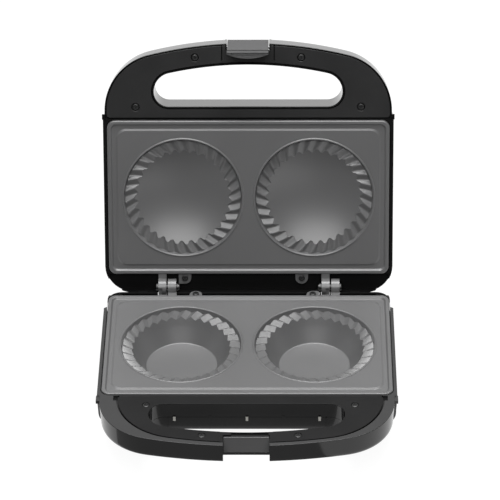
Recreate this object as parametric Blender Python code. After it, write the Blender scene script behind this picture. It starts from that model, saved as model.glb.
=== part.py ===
"""Countertop maker for two round pies, standing open, as separate solids.

Metres, +Z up. The part stands on Z = 0 with its front towards -Y, and its
origin is the middle of its footprint with the lid open.

Each half is modelled in its own frame: X across, Y to the back, Z the distance
from the plane where the two plates meet into that half, with the plates'
centre at the origin. The lid frame hangs on the hinge axis, and the base frame
is the same frame turned half a turn about Y, as the two castings are.
"""

import math
from dataclasses import dataclass, replace

import bmesh
import bpy
from mathutils import Matrix, Vector

# Clearances
GAP = 0.0003
RUNNING = 0.0002
OVERRUN = 0.002

# Pie moulds, which set the size of the plates
BEAD_RADIUS = 0.0540
BEAD_WIDTH = 0.0018
BEAD_HEIGHT = 0.0009
PIE_GAP = 0.0084
BAND_SETBACK = 0.0027
FLUTE_COUNT = 31
FLUTE_LENGTH = 0.0095
FLUTE_WAVE = 0.0009
FLUTE_DROP = 0.0022
FLUTE_FALL = 0.0010
FLUTE_SLANT = math.radians(5.1)
FLUTE_OUTER = BEAD_RADIUS - BAND_SETBACK
FLUTE_INNER = FLUTE_OUTER - FLUTE_LENGTH
MOULD_WALL = 0.0028
CUP_DEPTH = 0.0228
CUP_LIP = 0.0033
CUP_TAPER = 0.0075
CUP_WALL_RADIUS = FLUTE_INNER - CUP_LIP
CUP_FLOOR = CUP_WALL_RADIUS - CUP_TAPER
CUP_WALL_DEPTH = 0.0110
DOME_DEPTH = 0.0110
DOME_RINGS = 3
MOULD_SIDES = 36

# Cooking plates, cast alike for both halves
PLATE_SIDE = 0.0128
PLATE_END = 0.0165
PIE_SPACING = BEAD_RADIUS * 2 + PIE_GAP
PLATE_WIDTH = PIE_SPACING + (BEAD_RADIUS + PLATE_SIDE) * 2
PLATE_DEPTH = (BEAD_RADIUS + PLATE_END) * 2
PLATE_CORNER = 0.007
PLATE_BODY = 0.0052
PLATE_MEET = 0.0002
PLATE_FIT = 0.0005
RIM_CHAMFER = 0.0010
RIM_WIDTH = 0.0022
RIM_SLOPE = 0.0018
RIM_HEIGHT = 0.0022
FIELD_INSET = 0.0090
FIELD_STEP = 0.0006
FIELD_CORNER = 0.009
FLOOR_LEVEL = PLATE_MEET + RIM_HEIGHT
FIELD_LEVEL = FLOOR_LEVEL - FIELD_STEP
UNDERSIDE = PLATE_MEET + PLATE_BODY
FLUTE_LEVEL = FIELD_LEVEL + FLUTE_DROP
BAND_UNDERSIDE = FLUTE_LEVEL + FLUTE_FALL + FLUTE_WAVE + MOULD_WALL
CUP_LEVEL = FIELD_LEVEL + CUP_DEPTH
DOME_LEVEL = FIELD_LEVEL + DOME_DEPTH

# Hinge
HINGE_SETBACK = 0.0112
HINGE_Y = PLATE_DEPTH / 2 + HINGE_SETBACK
OPEN_ANGLE = math.radians(111.5)
LUG_RADIUS = 0.0073
LUG_WIDTH = 0.0081
LUG_SET = 0.0604
LUG_INNER = PLATE_WIDTH / 2 - LUG_SET
LUG_OUTER = LUG_INNER + LUG_WIDTH + RUNNING * 2
LUG_WEB_TOP = 0.0008
LUG_WEB_BOTTOM = 0.0050
PIN_RADIUS = 0.0025
PIN_HEAD_RADIUS = 0.0040
PIN_HEAD_LENGTH = 0.0014
CLIP_RADIUS = 0.0042
CLIP_LENGTH = 0.0010
LUG_ROOM = 0.0005

# Fixing tabs at the back of the castings
TAB_RADIUS = 0.0057
TAB_BACK = 0.0036
TAB_TOP = 0.0030
TAB_THICKNESS = 0.0030
TAB_SQUARE_SET = 0.0075
TAB_ROUND_SET = 0.0173
TAB_SQUARE_X = TAB_SQUARE_SET - LUG_INNER
TAB_ROUND_X = LUG_INNER - TAB_ROUND_SET

# Heating and wiring
ELEMENT_RADIUS = 0.0032
ELEMENT_ROOM = 0.0012
ELEMENT_LOOP = FLUTE_INNER + MOULD_WALL + ELEMENT_ROOM + ELEMENT_RADIUS
ELEMENT_LEVEL = BAND_UNDERSIDE + GAP + ELEMENT_RADIUS
ELEMENT_GAP_HALF = 0.0160
ELEMENT_TAIL = 0.0060
ELEMENT_STEPS = 12
REFLECTOR_SHEET = 0.0008
REFLECTOR_SIDE_SET = 0.0150
REFLECTOR_END_SET = 0.0105
REFLECTOR_HALF = PLATE_WIDTH / 2 - REFLECTOR_SIDE_SET
REFLECTOR_DEPTH_HALF = PLATE_DEPTH / 2 - REFLECTOR_END_SET
REFLECTOR_LIP = 0.0050
REFLECTOR_CORNER = 0.012
CUP_ROOM = 0.0012
DOME_ROOM = 0.0044
BASE_REFLECTOR = CUP_LEVEL + MOULD_WALL + CUP_ROOM
LID_REFLECTOR = DOME_LEVEL + MOULD_WALL + DOME_ROOM
STUD_RADIUS = 0.0036
STUD_BORE = 0.0016
STUD_FRONT_ROOM = 0.0042
STUD_BACK_SET = 0.0025
STUD_FRONT_Y = ELEMENT_RADIUS + STUD_FRONT_ROOM + STUD_RADIUS - ELEMENT_LOOP
STUD_BACK_Y = ELEMENT_LOOP + STUD_BACK_SET
STUDS = {"front": STUD_FRONT_Y, "back": STUD_BACK_Y}
THERMOSTAT_RADIUS = 0.0095
THERMOSTAT_ROOM = 0.0034
THERMOSTAT_Y = STUD_BACK_Y - STUD_RADIUS - THERMOSTAT_ROOM - THERMOSTAT_RADIUS
THERMOSTAT_HEIGHT = 0.0070
THERMOSTAT_TAB = (0.0063, 0.0008, 0.0080)
THERMOSTAT_TAB_X = 0.0050
FUSE_RADIUS = 0.0020
FUSE_LENGTH = 0.0120
FUSE_SET = 0.0140
FUSE_Y = STUD_FRONT_Y + FUSE_SET
BLOCK_LENGTH = 0.0300
BLOCK_WIDTH = 0.0120
BLOCK_HEIGHT = 0.0109
BLOCK_ROOM = 0.0009
BLOCK_X = -0.0300
BLOCK_SET = 0.0145
BLOCK_Y = PLATE_DEPTH / 2 - BLOCK_SET
BLOCK_WAYS = 3
BLOCK_WELL = 0.0026
BLOCK_WELL_DEPTH = 0.0050
LAMP_X = 0.0100
LAMP_SET = 0.0165
LAMP_Y = LAMP_SET - PLATE_DEPTH / 2
LENS_RADIUS = 0.0030
LENS_RISE = 0.0008
LENS_FLANGE = 0.0040
LENS_FLANGE_LENGTH = 0.0010
HOLDER_LENGTH = 0.0320
HOLDER_WIDTH = 0.0100
HOLDER_HEIGHT = 0.0060
HOLDER_ROOM = 0.0031

# Shell section
WALL = 0.0025
FLANGE = 0.0080
SEAT_LEDGE = 0.0030
SHELL_DRAFT_SHARE = 0.06
ROUNDING_STEPS = 4
LID_FACE = 0.0025
BASE_FACE = 0.0010
HOLDER_TOP = LID_REFLECTOR + REFLECTOR_SHEET + HOLDER_ROOM
LID_DEPTH = HOLDER_TOP + HOLDER_HEIGHT + LENS_FLANGE_LENGTH + GAP * 2 + WALL
LID_ROUNDING = 0.0150
LID_SHOULDER = LID_DEPTH - LID_ROUNDING
BASE_DEPTH = BASE_REFLECTOR + REFLECTOR_SHEET + BLOCK_ROOM + BLOCK_HEIGHT + GAP + WALL
BASE_SHOULDER = 0.0120
BASE_FLOOR_INSET = 0.0240
GRIP_FRONT_DEPTH = 0.0268
GRIP_BACK_DEPTH = 0.0310
KEEL_START_SET = 0.0115
KEEL_END_SET = 0.0205
KEEL_START = -PLATE_DEPTH / 2 - KEEL_START_SET
KEEL_END = KEEL_END_SET - PLATE_DEPTH / 2
KEEL_STATIONS = 3

# Handles, from the plates' front to the latch's face
OPENING_SETBACK = 0.0119
OPENING_SPAN = 0.0374
OPENING_BACK = -PLATE_DEPTH / 2 - OPENING_SETBACK
OPENING_FRONT = OPENING_BACK - OPENING_SPAN
NOTCH_WALL = 0.0068
BASE_NOTCH_WALL = 0.0038
NOTCH_BACK = OPENING_FRONT - NOTCH_WALL
BASE_NOTCH_BACK = OPENING_FRONT - BASE_NOTCH_WALL
CATCH_THICKNESS = 0.0039
CATCH_FACE = BASE_NOTCH_BACK - CATCH_THICKNESS
HOOK_CLEARANCE = 0.0019
HOOK_NOSE = CATCH_FACE - HOOK_CLEARANCE
HOOK_LENGTH = 0.0100
LATCH_FACE = HOOK_NOSE - HOOK_LENGTH
LATCH_PROUD = 0.0002
HANDLE_FRONT = LATCH_FACE + LATCH_PROUD
HANDLE_SIDE = 0.0018
HANDLE_HALF = PLATE_WIDTH / 2 + HANDLE_SIDE
HANDLE_ARC = 0.370
HANDLE_CORNER = 0.052
BASE_INSET = 0.0010
OPENING_SIDE = 0.0437
OPENING_HALF = HANDLE_HALF - OPENING_SIDE
OPENING_FLATTER = 0.047
OPENING_ARC = HANDLE_ARC - OPENING_FLATTER
OPENING_CORNER = 0.017
OPENING_BACK_CORNER = 0.013
OPENING_WALL = 0.0040
SKIRT_WALL = 0.0014
SKIRT_DEPTH = 0.0145

# Shell outlines
LID_SIDE_WALL = 0.0029
BASE_SIDE_WALL = 0.0028
BASE_BACK_WALL = 0.0001
LID_SIDE = PLATE_WIDTH / 2 + PLATE_FIT + LID_SIDE_WALL
BASE_SIDE = PLATE_WIDTH / 2 + PLATE_FIT + BASE_SIDE_WALL
BASE_BACK_SIDE = PLATE_WIDTH / 2 + PLATE_FIT + BASE_BACK_WALL
BASE_BACK_SET = 0.0185
BASE_BACK_Y = PLATE_DEPTH / 2 - BASE_BACK_SET
LID_OVERHANG = 0.0061
BASE_UNDERHANG = 0.0038
LID_REAR = HINGE_Y + LID_OVERHANG
LID_REAR_CORNER = 0.0245
BASE_REAR = HINGE_Y - BASE_UNDERHANG
BASE_REAR_CORNER = 0.0120
BASE_HEEL_SET = 0.0047
BASE_HEEL = BASE_REAR - BASE_HEEL_SET
BASE_HEEL_CORNER = 0.0180
SHOULDER_SET = 0.0035
SHOULDER_RUN = 0.0015
CORNER_DEPTH = HANDLE_ARC - math.sqrt(
    (HANDLE_ARC - HANDLE_CORNER) ** 2 - (HANDLE_HALF - HANDLE_CORNER) ** 2
)
CORNER_END = HANDLE_FRONT + BASE_INSET + CORNER_DEPTH
SHOULDER_Y = max(-PLATE_DEPTH / 2 - SHOULDER_SET, CORNER_END + GAP)

# Handle covers, screwed into the shells
COVER_THICKNESS = 0.0024
COVER_STRIP = 0.0012
COVER_BACK = -PLATE_DEPTH / 2 - PLATE_FIT - COVER_STRIP
COVER_BACK_CORNER = 0.0030
COVER_LEDGE = 0.0035
LID_COVER_EDGE = 0.0017
BASE_COVER_EDGE = 0.0063
BASE_COVER_SIDE = 0.0160
BASE_COVER_FRONT = HANDLE_FRONT + BASE_COVER_EDGE
BASE_COVER_HALF = HANDLE_HALF - BASE_COVER_SIDE
BASE_COVER_ARC_LESS = 0.020
BASE_COVER_ARC = HANDLE_ARC - BASE_COVER_ARC_LESS
BASE_COVER_CORNER_MORE = 0.003
BASE_COVER_CORNER = HANDLE_CORNER + BASE_COVER_CORNER_MORE
COVER_RECESS_MARGIN = 0.0019
COVER_RECESS = 0.0005

# Screws
SCREW_HEAD = 0.0030
SCREW_HEAD_HEIGHT = 0.0012
SCREW_SHANK = 0.0014
SCREW_LENGTH = 0.0100
SCREW_SINK = 0.0006
SCREW_FIT = 0.0003
BOSS_RADIUS = 0.0040
BOSS_BORE = 0.0018
SCREW_OUTER_SET = (0.0163, 0.0005)
SCREW_INNER_SET = (0.0264, 0.0064)
BASE_SCREW_OUTER_SET = (0.0057, -0.0012)
BASE_SCREW_INNER_SET = (0.0202, 0.0040)
BASE_SCREW_SHIFT = -0.0030

# Latch, its notch and its catch
NOTCH_HALF = 0.0203
LATCH_SIDE_ROOM = 0.0022
LATCH_HALF = NOTCH_HALF - LATCH_SIDE_ROOM
COVER_RECESS_HALF = NOTCH_HALF + COVER_RECESS_MARGIN
LATCH_THICKNESS = 0.0028
LATCH_TOP = 0.0180
LATCH_REACH = 0.0205
HOOK_THICKNESS = 0.0022
HOOK_BOW = 0.0037
HOOK_BOW_STEPS = 8
HOOK_SWING_ROOM = 0.0013
HOOK_LEVEL = LATCH_REACH - HOOK_THICKNESS
CATCH_TOP = 0.0015
CATCH_LEAN = 0.0015
CATCH_BOTTOM = HOOK_LEVEL - HOOK_SWING_ROOM
CHEEK_THICKNESS = 0.0028
CHEEK_RADIUS = 0.0036
LATCH_PIN_RADIUS = 0.0014
LATCH_PIN_SET = 0.0031
LATCH_PIN_DROP = 0.0060
LATCH_PIN_Y = LATCH_FACE + LATCH_THICKNESS + LATCH_PIN_SET
LATCH_PIN_Z = LATCH_TOP - LATCH_PIN_DROP
LATCH_PIN_BITE = 0.0020

# Cord gland
GLAND_SET = 0.0196
GLAND_RISE = 0.0175
GLAND_X = LUG_INNER - GLAND_SET
GLAND_Z = BASE_DEPTH - GLAND_RISE
GLAND_BOSS_RADIUS = 0.0110
GLAND_BOSS_PROUD = 0.0033
GLAND_BOSS_DEPTH = 0.0057
GLAND_BOSS_BACK = BASE_REAR + GLAND_BOSS_PROUD
GLAND_BOSS_FRONT = BASE_REAR - GLAND_BOSS_DEPTH
GLAND_NECK = 0.0057
GLAND_FLANGE = 0.0085
GLAND_FLANGE_LENGTH = 0.0025
GLAND_BORE = 0.0038

# Feet and stops
FOOT_HEIGHT = 0.0060
FOOT_RADIUS = 0.0090
FOOT_TAPER = 0.0012
FOOT_SIDE_SET = 0.0400
FOOT_FRONT_SET = 0.0325
FOOT_BACK_SET = 0.0010
FOOT_X = PLATE_WIDTH / 2 - FOOT_SIDE_SET
FOOT_FRONT_Y = FOOT_FRONT_SET - PLATE_DEPTH / 2
FOOT_BACK_Y = BASE_HEEL - FOOT_RADIUS - FOOT_BACK_SET
STOP_SET = 0.0300
STOP_X = PLATE_WIDTH / 2 - STOP_SET
STOP_WIDTH = 0.0080
STOP_TOP = 0.0045
STOP_BOTTOM = 0.0110
REAR_WALL_TOP = 0.0030
REAR_WALL = 0.0023
NUB_HEIGHT = 0.0030
LID_NUB_REACH = 0.0016
LID_NUB_RUN = (-0.0010, 0.0034)
BASE_NUB_REACH = 0.0017
BASE_NUB_RUN = (-0.0060, 0.0015)
LID_NUB = (LID_SIDE + LID_NUB_REACH, SHOULDER_Y + LID_NUB_RUN[0], SHOULDER_Y + LID_NUB_RUN[1])
BASE_NUB = (BASE_SIDE + BASE_NUB_REACH, SHOULDER_Y + BASE_NUB_RUN[0], SHOULDER_Y + BASE_NUB_RUN[1])

# Facets
FRONT_STEPS = 7
CORNER_STEPS = 7
REAR_STEPS = 4
ROUND = 24
SMALL_ROUND = 12

# Colours as red, green, blue shares, then roughness and metallic shares
FINISH = {
    "gloss_black": ((0.018, 0.018, 0.019), 0.16, 0.0),
    "satin_black": ((0.030, 0.030, 0.031), 0.42, 0.0),
    "coated_plate": ((0.110, 0.110, 0.112), 0.38, 0.35),
    "latch_grey": ((0.160, 0.160, 0.163), 0.35, 0.0),
    "steel": ((0.560, 0.560, 0.570), 0.28, 1.0),
    "dark_steel": ((0.120, 0.120, 0.125), 0.40, 1.0),
    "bright_sheet": ((0.780, 0.780, 0.790), 0.25, 1.0),
    "element_steel": ((0.300, 0.290, 0.270), 0.45, 1.0),
    "rubber": ((0.025, 0.025, 0.025), 0.80, 0.0),
    "ceramic": ((0.820, 0.800, 0.760), 0.55, 0.0),
    "nylon": ((0.750, 0.740, 0.700), 0.50, 0.0),
    "red_lens": ((0.600, 0.030, 0.020), 0.20, 0.0),
    "green_lens": ((0.030, 0.450, 0.080), 0.20, 0.0),
}


@dataclass(frozen=True)
class Outline:
    """A plan outline: front arc, corner arcs, sides and rear corners."""

    half_width: float
    front: float
    front_radius: float
    corner: float
    rear: float
    rear_corner: float
    shoulders: tuple = ()

    def inset(self, distance):
        """The outline moved inwards by distance, or outwards where it is negative."""
        return Outline(
            self.half_width - distance,
            self.front + distance,
            self.front_radius - distance,
            self.corner - distance,
            self.rear - distance,
            max(self.rear_corner - distance, GAP),
            tuple((y, half - distance) for y, half in self.shoulders),
        )

    def right_half(self):
        """Points from the middle of the front to the last one of the rear corner."""
        corner_x = self.half_width - self.corner
        arc_y = self.front + self.front_radius
        reach = self.front_radius - self.corner
        corner_y = arc_y - math.sqrt(reach**2 - corner_x**2)
        tangent = math.atan2(corner_x, arc_y - corner_y)
        points = []
        for i in range(FRONT_STEPS + 1):
            turn = tangent * i / FRONT_STEPS
            points.append((self.front_radius * math.sin(turn), arc_y - self.front_radius * math.cos(turn)))
        drop = max(corner_y + self.rear_corner - self.rear, 0.0)
        last = math.acos(drop / self.corner)
        for i in range(1, CORNER_STEPS + 1):
            turn = tangent + (last - tangent) * i / CORNER_STEPS
            points.append((corner_x + self.corner * math.sin(turn), corner_y - self.corner * math.cos(turn)))
        half = points[-1][0]
        for y, next_half in self.shoulders:
            points.append((half, y))
            points.append((next_half, y + SHOULDER_RUN))
            half = next_half
        for i in range(1 if drop else 0, REAR_STEPS + 1):
            turn = math.pi / 2 * i / REAR_STEPS
            x = half - self.rear_corner * (1 - math.cos(turn))
            points.append((x, self.rear - self.rear_corner * (1 - math.sin(turn))))
        return points

    def loop(self):
        """The whole closed outline."""
        right = self.right_half()
        return right + [(-x, y) for x, y in reversed(right[1:])]


def keel_stations():
    """Places along the base's sides where the underside curves."""
    run = (KEEL_END - SHOULDER_Y) / KEEL_STATIONS
    return tuple((SHOULDER_Y + run * i, BASE_SIDE) for i in range(1, KEEL_STATIONS + 1))


LID_RIM = Outline(
    HANDLE_HALF, HANDLE_FRONT, HANDLE_ARC, HANDLE_CORNER, LID_REAR, LID_REAR_CORNER,
    ((SHOULDER_Y, LID_SIDE),),
)
LID_TOP = LID_RIM.inset(LID_ROUNDING)
BASE_RIM = Outline(
    HANDLE_HALF - BASE_INSET / 2, HANDLE_FRONT + BASE_INSET, HANDLE_ARC, HANDLE_CORNER,
    BASE_REAR, BASE_REAR_CORNER,
    ((SHOULDER_Y, BASE_SIDE),) + keel_stations() + ((BASE_BACK_Y, BASE_BACK_SIDE),),
)
BASE_FLOOR = replace(
    BASE_RIM.inset(BASE_FLOOR_INSET), rear=BASE_HEEL, rear_corner=BASE_HEEL_CORNER
)
OPENING = Outline(
    OPENING_HALF, OPENING_FRONT, OPENING_ARC, OPENING_CORNER, OPENING_BACK, OPENING_BACK_CORNER
)
LID_COVER = replace(
    LID_RIM.inset(LID_COVER_EDGE), rear=COVER_BACK, rear_corner=COVER_BACK_CORNER, shoulders=()
)
BASE_COVER = Outline(
    BASE_COVER_HALF, BASE_COVER_FRONT, BASE_COVER_ARC, BASE_COVER_CORNER,
    COVER_BACK, COVER_BACK_CORNER,
)


def lid_keel(y):
    """The lid is as deep everywhere."""
    return LID_DEPTH


def base_keel(y):
    """Depth of the base's underside: it rises from the body to the handle's front."""
    span = (y - BASE_RIM.front) / (KEEL_START - BASE_RIM.front)
    grip = GRIP_FRONT_DEPTH + (GRIP_BACK_DEPTH - GRIP_FRONT_DEPTH) * span
    if y <= KEEL_START:
        return grip
    share = min((y - KEEL_START) / (KEEL_END - KEEL_START), 1.0)
    blend = share * share * (3 - 2 * share)
    return GRIP_BACK_DEPTH + (BASE_DEPTH - GRIP_BACK_DEPTH) * blend


@dataclass(frozen=True)
class Half:
    """What differs between the lid's shell and the base's."""

    name: str
    face: float
    rim: Outline
    floor: Outline
    shoulder: float
    keel: object
    cover: Outline
    skirt: float
    notch_back: float
    nub: tuple
    screws: tuple


def screw_places(outer, inner, shift):
    """Four screws of a handle cover, two beside the opening and two before its front."""
    places = (
        (OPENING_HALF + outer[0], OPENING_BACK + outer[1]),
        (NOTCH_HALF + inner[0], OPENING_FRONT - inner[1]),
    )
    return tuple((side * x + shift, y) for x, y in places for side in (-1, 1))


LID = Half(
    "lid", LID_FACE, LID_RIM, LID_TOP, LID_SHOULDER, lid_keel, LID_COVER, 0.0, NOTCH_BACK, LID_NUB,
    screw_places(SCREW_OUTER_SET, SCREW_INNER_SET, 0.0),
)
BASE = Half(
    "base", BASE_FACE, BASE_RIM, BASE_FLOOR, BASE_SHOULDER, base_keel, BASE_COVER, SKIRT_DEPTH,
    BASE_NOTCH_BACK, BASE_NUB,
    screw_places(BASE_SCREW_OUTER_SET, BASE_SCREW_INNER_SET, BASE_SCREW_SHIFT),
)


def clear_scene():
    for obj in list(bpy.data.objects):
        bpy.data.objects.remove(obj, do_unlink=True)


def material(name):
    """The named finish as a Principled BSDF, made once."""
    if name in bpy.data.materials:
        return bpy.data.materials[name]
    colour, roughness, metallic = FINISH[name]
    made = bpy.data.materials.new(name)
    made.use_nodes = True
    shader = made.node_tree.nodes["Principled BSDF"]
    shader.inputs["Base Color"].default_value = (*colour, 1.0)
    shader.inputs["Roughness"].default_value = roughness
    shader.inputs["Metallic"].default_value = metallic
    return made


def empty(name, location, parent=None, rotation=(0.0, 0.0, 0.0)):
    made = bpy.data.objects.new(name, None)
    made.location = location
    made.rotation_euler = rotation
    made.parent = parent
    bpy.context.scene.collection.objects.link(made)
    return made


def solid(work, name="tool"):
    """An object of its own from a bmesh, with its faces pointing out."""
    bmesh.ops.recalc_face_normals(work, faces=work.faces)
    mesh = bpy.data.meshes.new(name)
    work.to_mesh(mesh)
    work.free()
    made = bpy.data.objects.new(name, mesh)
    bpy.context.scene.collection.objects.link(made)
    return made


def combine(target, tool, operation):
    """Boolean of two objects. The target keeps the result and the tool is removed."""
    change = target.modifiers.new("shape", "BOOLEAN")
    change.operation = operation
    change.solver = "EXACT"
    change.object = tool
    bpy.context.view_layer.update()
    graph = bpy.context.evaluated_depsgraph_get()
    result = bpy.data.meshes.new_from_object(target.evaluated_get(graph))
    target.modifiers.clear()
    target.data = result
    bpy.data.objects.remove(tool, do_unlink=True)
    return target


def cut(target, *tools):
    for tool in tools:
        combine(target, tool, "DIFFERENCE")
    return target


def join(target, *others):
    for other in others:
        combine(target, other, "UNION")
    return target


def finish(obj, name, finish_name, parent, origin=(0.0, 0.0, 0.0), smooth=True):
    """Name a made solid, give it its material and hang it on its frame."""
    obj.name = name
    obj.data.name = name
    obj.data.materials.clear()
    obj.data.materials.append(material(finish_name))
    if smooth:
        obj.data.shade_smooth()
        obj.data.set_sharp_from_angle(angle=math.radians(35))
    obj.parent = parent
    obj.location = origin
    return obj


def loft(rings, ladder=False):
    """A closed body through rings of as many points each.

    The ends are flat faces, or with ladder the last one is strips across X.
    """
    work = bmesh.new()
    made = [[work.verts.new(point) for point in ring] for ring in rings]
    count = len(made[0])
    for low, high in zip(made, made[1:]):
        for i in range(count):
            j = (i + 1) % count
            work.faces.new((low[i], low[j], high[j], high[i]))
    work.faces.new(made[0])
    if not ladder:
        work.faces.new(made[-1])
        return solid(work)
    last = made[-1]
    work.faces.new((last[0], last[1], last[-1]))
    for i in range(1, count // 2):
        work.faces.new((last[i], last[i + 1], last[-i - 1], last[-i]))
    return solid(work)


def at_level(outline, z):
    return [Vector((x, y, z)) for x, y in outline]


def prism(outline, low, high):
    return loft([at_level(outline, low), at_level(outline, high)])


def box(low, high):
    corners = [(low[0], low[1]), (high[0], low[1]), (high[0], high[1]), (low[0], high[1])]
    return prism(corners, low[2], high[2])


def circle(radius, sides, centre=(0.0, 0.0)):
    step = 2 * math.pi / sides
    return [
        (centre[0] + radius * math.cos(i * step), centre[1] + radius * math.sin(i * step))
        for i in range(sides)
    ]


def turned(profile, sides, centre=(0.0, 0.0)):
    """A solid turned about Z from radius and height pairs, closed on its ends."""
    return loft([at_level(circle(radius, sides, centre), z) for radius, z in profile])


def post(radius, low, high, centre=(0.0, 0.0), sides=SMALL_ROUND):
    return turned(((radius, low), (radius, high)), sides, centre)


def along_x(profile, low, high):
    """A solid whose YZ profile runs from low to high along X."""
    return loft([[Vector((x, y, z)) for y, z in profile] for x in (low, high)])


def tube(path, radius, resolution=2):
    """A round bar along the path, with flat ends."""
    curve = bpy.data.curves.new("tube", "CURVE")
    curve.dimensions = "3D"
    curve.bevel_depth = radius
    curve.bevel_resolution = resolution
    curve.use_fill_caps = True
    spline = curve.splines.new("POLY")
    spline.points.add(len(path) - 1)
    for point, place in zip(spline.points, path):
        point.co = (*place, 1.0)
    carrier = bpy.data.objects.new("tube", curve)
    bpy.context.scene.collection.objects.link(carrier)
    graph = bpy.context.evaluated_depsgraph_get()
    mesh = bpy.data.meshes.new_from_object(carrier.evaluated_get(graph))
    bpy.data.objects.remove(carrier, do_unlink=True)
    work = bmesh.new()
    work.from_mesh(mesh)
    bmesh.ops.remove_doubles(work, verts=work.verts, dist=radius / ROUND)
    bpy.data.meshes.remove(mesh)
    return solid(work)


def rounded_rectangle(half_x, low_y, high_y, radius, steps=4):
    points = []
    corners = ((1, high_y - radius, 0), (-1, high_y - radius, 1), (-1, low_y + radius, 2), (1, low_y + radius, 3))
    for side, y, quarter in corners:
        for i in range(steps + 1):
            turn = math.pi / 2 * (quarter + i / steps)
            points.append((side * (half_x - radius) + radius * math.cos(turn), y + radius * math.sin(turn)))
    return points


def plate_outline(grow):
    """The casting's outline, moved outwards by grow."""
    half_y = PLATE_DEPTH / 2 + grow
    return rounded_rectangle(PLATE_WIDTH / 2 + grow, -half_y, half_y, PLATE_CORNER + grow)


def bowl(rim, floor, top, shoulder, keel, thickness=0.0):
    """A closed body from the rim outline down to the floor outline.

    Its sides lean in a little as far as the shoulder, then round into the floor.
    """
    top_points = rim.loop()
    floor_points = floor.loop()
    rings = [at_level(top_points, top)]
    for step in range(ROUNDING_STEPS + 1):
        turn = math.pi / 2 * step / ROUNDING_STEPS
        share = SHELL_DRAFT_SHARE + (1 - SHELL_DRAFT_SHARE) * (1 - math.cos(turn))
        ring = []
        for (x, y), (floor_x, floor_y) in zip(top_points, floor_points):
            depth = keel(floor_y) - thickness
            ring.append(
                Vector((
                    x + (floor_x - x) * share,
                    y + (floor_y - y) * share,
                    shoulder + (depth - shoulder) * math.sin(turn),
                ))
            )
        rings.append(ring)
    return loft(rings, ladder=True)


def notch_tool(half, grow=0.0):
    """The latch's notch, from before the handle back to the half's notch wall."""
    reach = NOTCH_HALF + grow
    low = (-reach, HANDLE_FRONT - OVERRUN, -OVERRUN)
    return box(low, (reach, half.notch_back + grow, LID_DEPTH + OVERRUN))


def shell_cavity(half):
    """The hollow of a shell, clear of the walls round its opening and its notch."""
    hollow = bowl(
        half.rim.inset(WALL), half.floor.inset(WALL), half.face + FLANGE, half.shoulder,
        half.keel, WALL,
    )
    room = prism(half.cover.inset(COVER_LEDGE).loop(), half.face + COVER_THICKNESS, half.face + FLANGE + OVERRUN)
    join(hollow, room)
    cut(hollow, prism(OPENING.inset(-OPENING_WALL).loop(), -OVERRUN, BASE_DEPTH))
    cut(hollow, notch_tool(half, WALL))
    return hollow


def lug_places():
    """Low and high X of the two lugs of a casting."""
    return ((-LUG_OUTER - LUG_WIDTH, -LUG_OUTER), (LUG_INNER, LUG_INNER + LUG_WIDTH))


def lug_notches():
    """Room in a shell's back for its own lugs and the other half's."""
    reach = LUG_OUTER + LUG_WIDTH + LUG_ROOM
    start = LUG_INNER - LUG_ROOM
    radius = LUG_RADIUS + LUG_ROOM
    profile = [(HINGE_Y + radius, -OVERRUN)]
    for i in range(ROUND // 2 + 1):
        turn = 2 * math.pi * i / ROUND
        profile.append((HINGE_Y + radius * math.cos(turn), radius * math.sin(turn)))
    profile.append((HINGE_Y - radius, -OVERRUN))
    tools = []
    for side in (-1, 1):
        low_x, high_x = sorted((side * start, side * reach))
        tools.append(along_x(profile, low_x, high_x))
        web_low = (low_x, PLATE_DEPTH / 2, -OVERRUN)
        tools.append(box(web_low, (high_x, HINGE_Y, LUG_WEB_BOTTOM + LUG_ROOM)))
    return tools


def tab_places():
    return ((TAB_SQUARE_X, True), (TAB_ROUND_X, False))


def tab_outline(x, square, grow=0.0):
    """Plan of a fixing tab: a tongue with a round end, square on one side or not."""
    centre = PLATE_DEPTH / 2 + TAB_BACK
    radius = TAB_RADIUS + grow
    root = PLATE_DEPTH / 2 - OVERRUN
    points = [(x - radius, root), (x + radius, root)]
    last = 2 if square else 4
    for i in range(last + 1):
        turn = math.pi / 4 * i
        points.append((x + radius * math.cos(turn), centre + radius * math.sin(turn)))
    if square:
        points.append((x - radius, centre + radius))
    return points


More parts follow.
